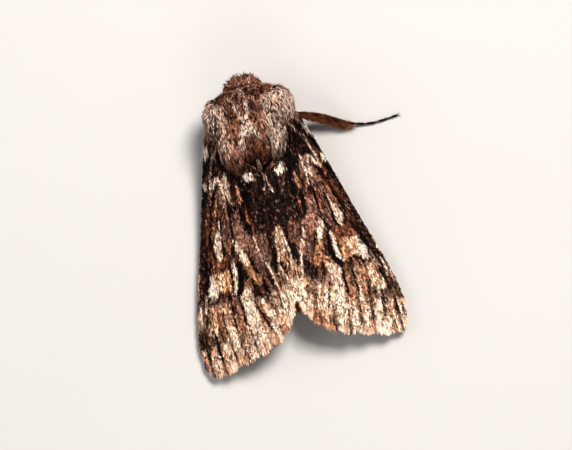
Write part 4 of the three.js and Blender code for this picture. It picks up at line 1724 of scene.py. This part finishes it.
def set_rolled_uv(obj, vertex_uv):
    """Sets a map that closes on itself, and notes it as the place of each corner."""
    starts = np.empty(len(obj.data.polygons), np.int64)
    totals = np.empty(len(obj.data.polygons), np.int64)
    obj.data.polygons.foreach_get("loop_start", starts)
    obj.data.polygons.foreach_get("loop_total", totals)
    uv = vertex_uv[corner_vertices(obj)]
    most = np.maximum.reduceat(uv[:, 0], starts)
    least = np.minimum.reduceat(uv[:, 0], starts)
    split = np.repeat(most - least > 0.5, totals)
    uv[split & (uv[:, 0] < 0.5), 0] += ROLL_WIDTH
    set_uv(obj, uv)
    place = obj.data.attributes.new("place", VECTOR, "CORNER")
    flat = np.hstack([uv, np.zeros((len(uv), 1))]).astype(np.float32)
    place.data.foreach_set("vector", flat.ravel())


set_rolled_uv(body_skin, capsule_map(body_points))

# %% [markdown]
# ## Finish of hair
#
# A body hair is rusty where it grows and pale at its tip, and its root is darkened as
# painted shade of the fur's depths. Seen from above only the outer half shows, so the fur
# looks grey with dark depths. Every fifth hair or so is a rusty one. A hair shader would
# do this for strands, but these hairs are solid.

# %% Hair finish
def hair_finish(name, painted_hair_root_shade, contrast, roughness, gleam):
    material, shader, bench = new_finish(name)
    pattern = bench.attribute("pattern", "Color")
    tint = bench.attribute("tint")
    tip = bench.shaded(pattern, bench.soft_step(tint, 0.27, 0.46, 1 - contrast))
    rusty = bench.math("LESS_THAN", bench.attribute("luck"), 0.22)
    tip = bench.blend(bench.times(rusty, 0.4), tip, (*(RUST * 0.8), 1))
    # painted shade: the rusty root colour is darkened for the fur's depths
    root = bench.blend(1.0, pattern, (*(RUST * painted_hair_root_shade), 1), "MULTIPLY")
    colour = bench.blend(bench.soft_step(bench.attribute("along"), 0.1, 0.6), root, tip)
    rough = bench.plus(roughness, bench.times(tint, 0.15))
    bench.fill(shader, Base_Color=colour, Roughness=rough, Specular_IOR_Level=gleam)
    return material


BODY_HAIR = hair_finish("body hair", 0.3, 0.95, 0.45, 0.25)
print("made", BODY_HAIR.name)

# %% [markdown]
# ## Growing the body's fur
#
# Each region has its own hair, because its length and its set differ: short and rough on
# the head, long and sleek on the shoulder plates, standing in the crest, and short on
# the rings of the abdomen.

# %% Fur by region
SLEEK = dict(
    Apart=0.065, Per_mm2=240.0, Length=0.56, Width=0.15, Uneven=0.35, Lift=0.22, Stray=0.2,
    Clump=0.5, Clump_turn=0.18, Sway=0.25, Tuft=0.14, Tuft_share=0.6,
)
ROUGH = SLEEK | dict(Apart=0.055, Per_mm2=330.0, Length=0.44, Width=0.12, Lift=0.36, Stray=0.4)
back_length = 0.85 + 0.75 * ramp(-py, 0.5, 3.0) * ramp(np.abs(px + 0.35), 0.4, 1.6)
shoulder_length = 1.0 + 0.25 * ramp(-py, -0.4, 0.6)
in_gap = ramp(0.75 - np.abs(px + 0.3), 0, 0.3) * ramp(-py, 2.6, 3.4)
thorax_length = (0.9 + 0.5 * ramp(-py, 0, 3)) * (1 - 0.6 * in_gap)
FUR = {
    # name: (where, size, sizes for the coat tree)
    "shoulder_fur_left": (is_part("tegula_left"), shoulder_length, SLEEK),
    "shoulder_fur_right": (is_part("tegula_right"), shoulder_length, SLEEK),
    "back_fur_left": (is_part("back_left"), back_length, SLEEK),
    "back_fur_right": (is_part("back_right"), back_length, SLEEK),
    "thorax_fur": (is_part("thorax") & (py > -4.6), thorax_length, SLEEK),
    "crest_fur": (is_part("thorax_crest", "scutellum"), 1.0 - 0.35 * on_scutellum, ROUGH),
    "collar_fur": (is_part("collar"), 1.0, ROUGH),
    "head_fur": (
        is_part("head", "brow"), 0.9 + 0.6 * is_part("brow") * ramp(pz, 4.1, 4.6),
        ROUGH | dict(Apart=0.045, Width=0.085, Uneven=0.6, Stray=0.6, Clump=0.3, Clump_turn=0.5),
    ),
    "abdomen_fur": (
        is_part("abdomen", "tail_tuft"), 1.0 + 1.3 * ramp(-py, 14.4, 15.4),
        SLEEK | dict(Apart=0.1, Stray=0.2, Sway=0.2),
    ),
}


furs = []
for number, (name, (where, size, sizes)) in enumerate(FUR.items()):
    coat_marks(body_skin, body_lie, where.astype(float), size)
    furs.append(grow(name, body_skin, TUFT, BODY_HAIR, 60 + number, **sizes))

body_skin.data.materials.append(BODY_SKIN)
SKINNED = ("thorax", "thorax_crest", "collar", "head", "abdomen", "tail_tuft", "tegula_left", "tegula_right")
DARK = ("head_fur", "collar_fur", "crest_fur")
finish_piece(body_skin, "fur", *SKINNED)
for fur in furs:
    finish_piece(fur, "dark_fur" if fur.name in DARK else "fur")

# %% [markdown]
# ## Limbs
#
# Legs, palps and feelers are all tubes along a bent line. limb_skin sweeps a ring of
# points along such a line, closes both ends, unrolls its map, and notes which way the
# hair lies: along the limb, towards its tip. A curve with a bevel would give the same
# tube, but not the share of the limb that each of its points is at.

# %% Limb helper
def limb_frames(line):
    """For each point of a line: its direction, and two ways square to it."""
    way = np.gradient(line, axis=0)
    way /= np.linalg.norm(way, axis=1, keepdims=True)
    up = np.cross(np.cross(way, [0, 0, 1.0]), way)
    up /= np.maximum(np.linalg.norm(up, axis=1, keepdims=True), 1e-6)
    return way, up, np.cross(way, up)


def tube(line, radius, sides, root, tip):
    """Points and faces of a tube along a line, whose ends stand out by root and tip."""
    way, up, aside = limb_frames(line)
    turn = around(sides)
    out = up[:, None] * np.cos(turn)[:, None] + aside[:, None] * np.sin(turn)[:, None]
    ring = line[:, None] + out * radius[:, None, None]
    ends = [line[0] - way[0] * root, line[-1] + way[-1] * tip]
    return np.concatenate([ring.reshape(-1, 3), ends]), tube_faces(len(line), sides)


def limb_skin(name, line, radius, sides=14):
    rings = len(line)
    way = limb_frames(line)[0]
    obj = make_mesh(name, *tube(line, radius, sides, 0.6 * radius[0], 0.6 * radius[-1]))
    obj.data.shade_smooth()
    share = np.concatenate([np.repeat(np.linspace(0, 1, rings), sides), [0, 1]])
    angle = np.concatenate([np.tile(around(sides) / (2 * np.pi), rings), [0.5, 0.5]])
    set_rolled_uv(obj, np.stack([ROLL_START + ROLL_WIDTH * angle, 0.02 + 0.96 * share], -1))
    ways = np.concatenate([np.repeat(way, sides, axis=0), way[:1], way[-1:]])
    return obj, share, along_surface(ways, of_vertices(obj, "normal"))


def routed(route, side, count):
    """A smooth line through points that are given for the right side."""
    return smooth_line([(SIDES[side] * x, y, z) for x, y, z in route], count)


# %% [markdown]
# ## Eyes
#
# A moth's eye is a dome of many hundred lenses. Geometry Nodes make it: the dual of an
# icosphere is a ball of six-sided cells, and each cell is raised and drawn in a little,
# so that every lens stands up by itself. The eyes are dark and glossy.

# %% Eyes
EYE_RADIUS = 0.66
LENS_RISE = 0.008


EYE_PLACE = (1.05, 2.52, 3.4)
EYE_INPUTS = [
    GEOMETRY,
    ("Radius", NUMBER),
    ("Rise", NUMBER),
    FINISH,
]


def build_eye_tree():
    bench, given = new_tree("Faceted eye", "GeometryNodeTree", EYE_INPUTS, GEOMETRY)
    ball = bench("GeometryNodeMeshIcoSphere", Radius=given["Radius"], Subdivisions=5)
    cells = bench("GeometryNodeDualMesh", Mesh=ball.outputs["Mesh"])
    faces = {"mode": "FACES"}
    raised = bench("GeometryNodeExtrudeMesh", faces, Mesh=cells, Offset_Scale=given["Rise"], Individual=True)
    top = raised.outputs["Top"]
    domed = bench("GeometryNodeScaleElements", Geometry=raised.outputs["Mesh"], Selection=top, Scale=0.7)
    return end_coat(bench, bench("GeometryNodeRealizeInstances", Geometry=domed), given)


def eye_finish():
    material, shader, bench = new_finish("eye lenses")
    cloud = bench.pores(1400.0, 2.0)
    colour = bench.blend(cloud, (0.006, 0.004, 0.003, 1), (0.035, 0.018, 0.01, 1))
    rough = bench.plus(0.12, bench.times(cloud, 0.15))
    bench.fill(shader, Base_Color=colour, Roughness=rough, Specular_IOR_Level=0.4)
    bench.fill(shader, Coat_Weight=0.15, Coat_Roughness=0.08)
    return material


EYE_TREE = build_eye_tree()
EYE = eye_finish()
for side, sign in SIDES.items():
    seed_point = make_mesh("eye_seed", [(0, 0, 0)])
    eye = run_tree(f"eye_ball_{side}", EYE_TREE, seed_point, Radius=EYE_RADIUS, Rise=LENS_RISE, Finish=EYE)
    bpy.data.objects.remove(seed_point)
    eye.data.transform(Matrix.Translation(Vector(EYE_PLACE) * Vector((sign, 1, 1))))
    finish_piece(eye, "eye", f"eye_{side}", smooth=False)

# %% [markdown]
# ## Palps
#
# Two furry palps curve up in front of the face. Their hair is rough and dark, with paler
# tips, and hides the coiled tongue between them.

# %% Palps
PALP_RINGS = 30
PALP_HAIRS = dict(
    Apart=0.05, Per_mm2=300.0, Length=0.34, Width=0.045, Uneven=0.3,
    Lift=0.5, Stray=0.35, Clump=0.4, Clump_turn=0.3, Sway=0.2,
)
PALP_ROUTE = [(0.45, 2.55, 1.85), (0.47, 3.2, 2.2), (0.46, 3.4, 2.8), (0.44, 3.4, 3.3)]


def mottled(skin, colour, seed):
    """One colour, cloudy, for a small limb."""
    places = of_vertices(skin, "co")
    mottle = ramp(speckle(places[:, 1] * 3 + places[:, 2], places[:, 0] * 3, seed), 0.2, 0.8)
    return colour * (0.7 + 0.5 * mottle)[:, None]


for side in SIDES:
    line = routed(PALP_ROUTE, side, PALP_RINGS)
    share = np.linspace(0, 1, PALP_RINGS)
    skin, _, lie = limb_skin(f"palp_skin_{side}", line, 0.2 - 0.06 * share**2)
    mark_colour(skin, mottled(skin, SOOT * 0.5 + BROWN * 0.5, 81))
    coat_marks(skin, lie)
    fur = grow(f"palp_fur_{side}", skin, HAIR, BODY_HAIR, 82, **PALP_HAIRS)
    skin.data.materials.append(BODY_SKIN)
    finish_piece(skin, "fur", f"palp_{side}")
    finish_piece(fur, "dark_fur")

# %% [markdown]
# ## Feelers
#
# The feelers run back under the costa. Each is a slender chain of some sixty joints,
# with a short curved tooth on both sides of every joint. A tree walks along the line,
# sets a pair of teeth at even steps, longest in the middle, and makes them real.

# %% The teeth of a feeler
TOOTH_SPREAD, TOOTH_TILT = 1.05, 2.1 - 0.9 * math.pi / 2
COMB_INPUTS = [
    GEOMETRY,
    ("Tooth", "NodeSocketObject"),
    ("Count", COUNT),
    ("Length", NUMBER),
    ("Width", NUMBER),
    FINISH,
]


def build_comb_tree():
    bench, given = new_tree("Feeler teeth", "GeometryNodeTree", COMB_INPUTS, GEOMETRY)
    curve = bench("GeometryNodeMeshToCurve", Mesh=given["Geometry"])
    points = bench("GeometryNodeCurveToPoints", {"mode": "COUNT"}, Curve=curve, Count=given["Count"])
    original = {"transform_space": "ORIGINAL"}
    tooth = bench("GeometryNodeObjectInfo", original, Object=given["Tooth"])
    index = bench.math("DIVIDE", bench("GeometryNodeInputIndex"), given["Count"])
    bulge = bench.plus(0.25, bench.math("SINE", bench.times(index, math.pi)))
    length = bench.times(given["Length"], bulge)
    scale = bench("ShaderNodeCombineXYZ", X=given["Width"], Y=length, Z=given["Width"])
    rows = bench("GeometryNodeJoinGeometry")
    local = {"rotation_space": "LOCAL"}
    for turn in (-TOOTH_SPREAD, TOOTH_SPREAD):
        # The points' own turn has Z along the feeler; a tooth leaves it sideways and forwards.
        tilt = bench("FunctionNodeEulerToRotation", Euler=(TOOTH_TILT, 0.0, turn))
        turned = bench(
            "FunctionNodeRotateRotation", local, Rotation=points.outputs["Rotation"], Rotate_By=tilt
        )
        row = bench(
            "GeometryNodeInstanceOnPoints", Points=points.outputs["Points"],
            Instance=tooth.outputs["Geometry"], Rotation=turned, Scale=scale,
        )
        bench.fill(rows, Geometry=row)
    return end_coat(bench, bench("GeometryNodeRealizeInstances", Geometry=rows), given)


COMB_TREE = build_comb_tree()
print("feeler teeth tree:", len(COMB_TREE.nodes), "nodes")

# %% [markdown]
# Feelers and claws are bare horn: glossy, mottled, and shaded by a pattern of the
# piece's own, so that the joints show as dark rings.


# %% Horn finish
def horn_finish(name, dark, light, roughness):
    """Hard skin, as of feelers and claws: glossy, mottled, and shaded by the piece's own pattern."""
    material, shader, bench = new_finish(name)
    cloud = bench.pores(2500.0, 3.0)
    mottled_horn = bench.blend(cloud, (*dark, 1), (*light, 1))
    colour = bench.blend(1.0, mottled_horn, bench.attribute("pattern", "Color"), "MULTIPLY")
    rough = bench.plus(roughness, bench.times(cloud, 0.2))
    relief = bench("ShaderNodeBump", Strength=0.3, Distance=0.00003, Height=cloud)
    bench.fill(shader, Base_Color=colour, Roughness=rough, Normal=relief)
    return material


FEELER = horn_finish("feeler", BROWN * 0.7, TAN * 0.9, 0.4)
CLAW = horn_finish("claw", BLACK, BROWN, 0.25)
print("made", FEELER.name, "and", CLAW.name)

# %% [markdown]
# The shaft is a limb whose radius dips at every joint and whose root joint is thick. It
# gets no hair, only its two rows of teeth.

# %% Feelers
FEELER_ROUTE = [
    (0.7, 2.65, 4.3), (1.05, 2.85, 4.35), (1.45, 2.65, 4.2), (1.9, 2.2, 3.65), (2.5, 1.6, 3.2),
    (3.35, 0.45, 2.95), (4.0, -1.2, 2.7), (4.6, -3.2, 2.0), (5.2, -5.4, 1.2), (5.6, -7.6, 0.95),
]
FEELER_JOINTS = 64
SPINE_POINTS, BARE_POINTS = 80, 6  # the root has no teeth


def feeler_shaft(side):
    rings = FEELER_JOINTS * 4
    share = np.linspace(0, 1, rings)
    joint = 1 - 0.22 * np.abs(np.cos(np.pi * FEELER_JOINTS * share)) ** 6
    radius = (0.15 - 0.09 * share) * joint
    radius[: rings // 30] *= 1.5
    line = routed(FEELER_ROUTE, side, rings)
    shaft, place, _ = limb_skin(f"feeler_shaft_{side}", line, radius, sides=10)
    ringed = 0.45 + 0.55 * ramp(np.cos(2 * np.pi * FEELER_JOINTS * place), -0.4, 0.8)
    ringed = ringed * (0.35 + 0.65 * ramp(place, 0.06, 0.2))
    mark_colour(shaft, np.repeat(ringed[:, None], 3, 1))
    shaft.data.materials.append(FEELER)
    return shaft


def feeler_teeth(side):
    line = routed(FEELER_ROUTE, side, SPINE_POINTS)[BARE_POINTS:]
    spine = make_mesh("spine", line, edges=[(i, i + 1) for i in range(len(line) - 1)])
    teeth = run_tree(
        f"feeler_teeth_{side}", COMB_TREE, spine,
        Tooth=HAIR, Count=FEELER_JOINTS, Length=0.3, Width=0.06, Finish=FEELER,
    )
    bpy.data.objects.remove(spine)
    mark_colour(teeth, np.full((len(teeth.data.vertices), 3), 0.6))
    return teeth


for side in SIDES:
    shaft = feeler_shaft(side)
    teeth = feeler_teeth(side)
    finish_piece(shaft, "feeler", f"antenna_{side}")
    finish_piece(teeth, "feeler")

# %% [markdown]
# ## Legs
#
# A moth's leg has a furry thigh and shin and a foot of five joints that ends in two
# hooked claws. Each leg is one skin along its line, thick at the thigh, drawn in at the
# knee and at the joints of the foot. The thigh and shin have long soft hair, the foot
# has close scales with a pale ring at each joint, and spurs stand at the shin's end.

# %% Leg facts
LEGS = {
    # name: seven points from the hip to the claws, on the moth's right
    "foreleg_left": [
        (1.5, 0.9, 1.9), (2.1, 0.95, 2.05), (2.55, 1.2, 1.95), (2.3, 1.8, 1.2),
        (1.95, 2.2, 0.55), (1.5, 2.75, 0.22), (1.1, 3.3, 0.22),
    ],
    "midleg_left": [
        (1.8, -0.9, 1.9), (2.7, -0.7, 2.35), (3.45, -0.9, 2.35), (4.1, -2.6, 1.6),
        (4.5, -4.2, 0.75), (4.55, -6.2, 0.22), (4.6, -8.6, 0.22),
    ],
    "midleg_right": [
        (1.8, -0.9, 1.9), (2.8, -0.55, 2.3), (3.9, -0.6, 2.3), (5.8, -1.3, 1.6),
        (7.7, -2.25, 0.7), (9.7, -2.8, 0.22), (12.1, -2.7, 0.22),
    ],
    "hindleg_left": [
        (1.4, -3, 1.8), (2.3, -3.9, 2), (2.95, -4.9, 1.9), (3.15, -7.3, 1.3),
        (3.3, -9.6, 0.65), (3.7, -11.6, 0.22), (4.2, -13.8, 0.22),
    ],
}
LEGS["foreleg_right"] = LEGS["foreleg_left"]
LEGS["hindleg_right"] = LEGS["hindleg_left"]
KNEE, ANKLE = 2 / 6, 4 / 6  # shares of the leg at which the shin begins and the foot begins
FOOT_JOINTS = 5
LEG_RINGS = 120


def leg_radius(share):
    thigh = 0.3 - 0.12 * (share / KNEE) ** 2
    shin = 0.15 + 0.09 * np.sin(np.pi * np.clip((share - KNEE) / (ANKLE - KNEE), 0, 1))
    foot_share = np.clip((share - ANKLE) / (1 - ANKLE), 0, 1)
    joint = 1 - 0.3 * np.abs(np.cos(np.pi * FOOT_JOINTS * foot_share)) ** 8
    foot = (0.12 - 0.045 * foot_share) * joint
    return np.where(share < KNEE, thigh, np.where(share < ANKLE, shin, foot))


LEG_HAIR = hair_finish("leg hair", 0.5, 0.8, 0.6, 0.1)
print("legs:", ", ".join(LEGS))


# %% [markdown]
# Claws and spurs are small curved horns. Each is a tube that tapers to a point along a
# short bent line, and a leg's own are joined in one mesh.


# %% Claws and spurs
def horn_form(base, way, bend, length, radius, rings=9, sides=8):
    """A tapering horn that starts along way and curls towards bend."""
    share = np.linspace(0, 1, rings)[:, None]
    way, bend = np.asarray(way, float), np.asarray(bend, float)
    line = base + length * (way * share + bend * 0.5 * share**2)
    taper = radius * (1 - share[:, 0]) ** 0.8 + 0.004
    return tube(line, taper, sides, 0.5 * radius, 0.01)


def leg_horns(name, line):
    way, up, aside = limb_frames(line)
    at_ankle = int(ANKLE * LEG_RINGS)
    end, ankle = line[-1], line[at_ankle]
    forms = []
    for turn in (-1, 1):
        splay = way[-1] + aside[-1] * 0.55 * turn + up[-1] * 0.25
        forms.append(horn_form(end - [0, 0, 0.02], splay, (0, 0, -1.2), 0.28, 0.045))
        spur = way[at_ankle] * 0.8 + aside[at_ankle] * 0.6 * turn - up[at_ankle] * 0.3
        if not name.startswith("foreleg"):
            forms.append(horn_form(ankle, spur, way[at_ankle] * 0.4, 0.6 + 0.15 * turn, 0.05))
    horns = make_mesh(f"{name}_claws", *joined(forms))
    mark_colour(horns, np.ones((len(horns.data.vertices), 3)))
    horns.data.materials.append(CLAW)
    return horns


# %% [markdown]
# The hair is longest behind the thigh and shin, where it makes a fringe, and short and
# close on the foot. Colour, length and rise all follow from how far along the leg a
# point is and whether it faces back.

# %% Coats of the legs
LEG_HAIRS = dict(
    Apart=0.034, Per_mm2=800.0, Length=0.75, Width=0.036, Uneven=0.3, Lift=0.2,
    Stray=0.2, Clump=0.6, Clump_turn=0.2, Sway=0.3, Tuft=0.2,
)


def leg_colours(place, number):
    foot = ramp(place, ANKLE - 0.01, ANKLE + 0.02)
    foot_share = np.clip((place - ANKLE) / (1 - ANKLE), 0, 1)
    pale_ring = foot * ramp(np.cos(2 * np.pi * FOOT_JOINTS * foot_share), 0.55, 0.9)
    shin_tips = ramp(place, KNEE, KNEE + 0.1) * (1 - foot)
    dusted = ramp(speckle(place * 40, place * 0 + number, 7), 0.5, 0.8)
    return lay_all(
        np.tile(BROWN * 0.6 + RUST * 0.2, (len(place), 1)),
        (BROWN * 0.6 + SOOT * 0.4, 0.8 * foot),
        (PALE, 0.7 * pale_ring),
        (FUR_BROWN, 0.5 * shin_tips * dusted),
    )


def mark_leg(skin, place, lie, number):
    mark_colour(skin, leg_colours(place, number))
    normals = of_vertices(skin, "normal")
    behind = ramp(-normals[:, 1] - 0.4 * normals[:, 2], 0.1, 0.8)
    long_hair = 0.5 + 1.1 * behind
    on_shin = place < ANKLE
    size = np.where(on_shin, long_hair * (0.35 + 0.65 * ramp(place, 0, 0.1)), 0.32)
    rise = np.where(on_shin, 1.0 + 0.6 * behind, 0.4)
    coat_marks(skin, lie, np.where(on_shin, 0.75, 1.0) * ramp(place, 0.001, 0.01), size, rise)


# %% [markdown]
# The six legs are then made alike: skin, coat, claws. Each skin stands for the three
# solids of its leg.

# %% Legs
for number, (name, route) in enumerate(LEGS.items()):
    line = routed(route, name.split("_")[1], LEG_RINGS)
    radius = leg_radius(np.linspace(0, 1, LEG_RINGS))
    skin, place, lie = limb_skin(f"{name}_skin", line, radius)
    mark_leg(skin, place, lie, number)
    fur = grow(f"{name}_fur", skin, HAIR, LEG_HAIR, 90 + number, **LEG_HAIRS)
    skin.data.materials.append(BODY_SKIN)
    finish_piece(skin, "leg", f"{name}_femur", f"{name}_tibia", f"{name}_tarsus")
    finish_piece(fur, "leg")
    finish_piece(leg_horns(name, line), "leg")

# %% [markdown]
# ## Clearing up
#
# The three single locks were only patterns for the coats, so they go.

# %% Finish
for pattern_lock in (TILE, HAIR, TUFT):
    bpy.data.objects.remove(pattern_lock)
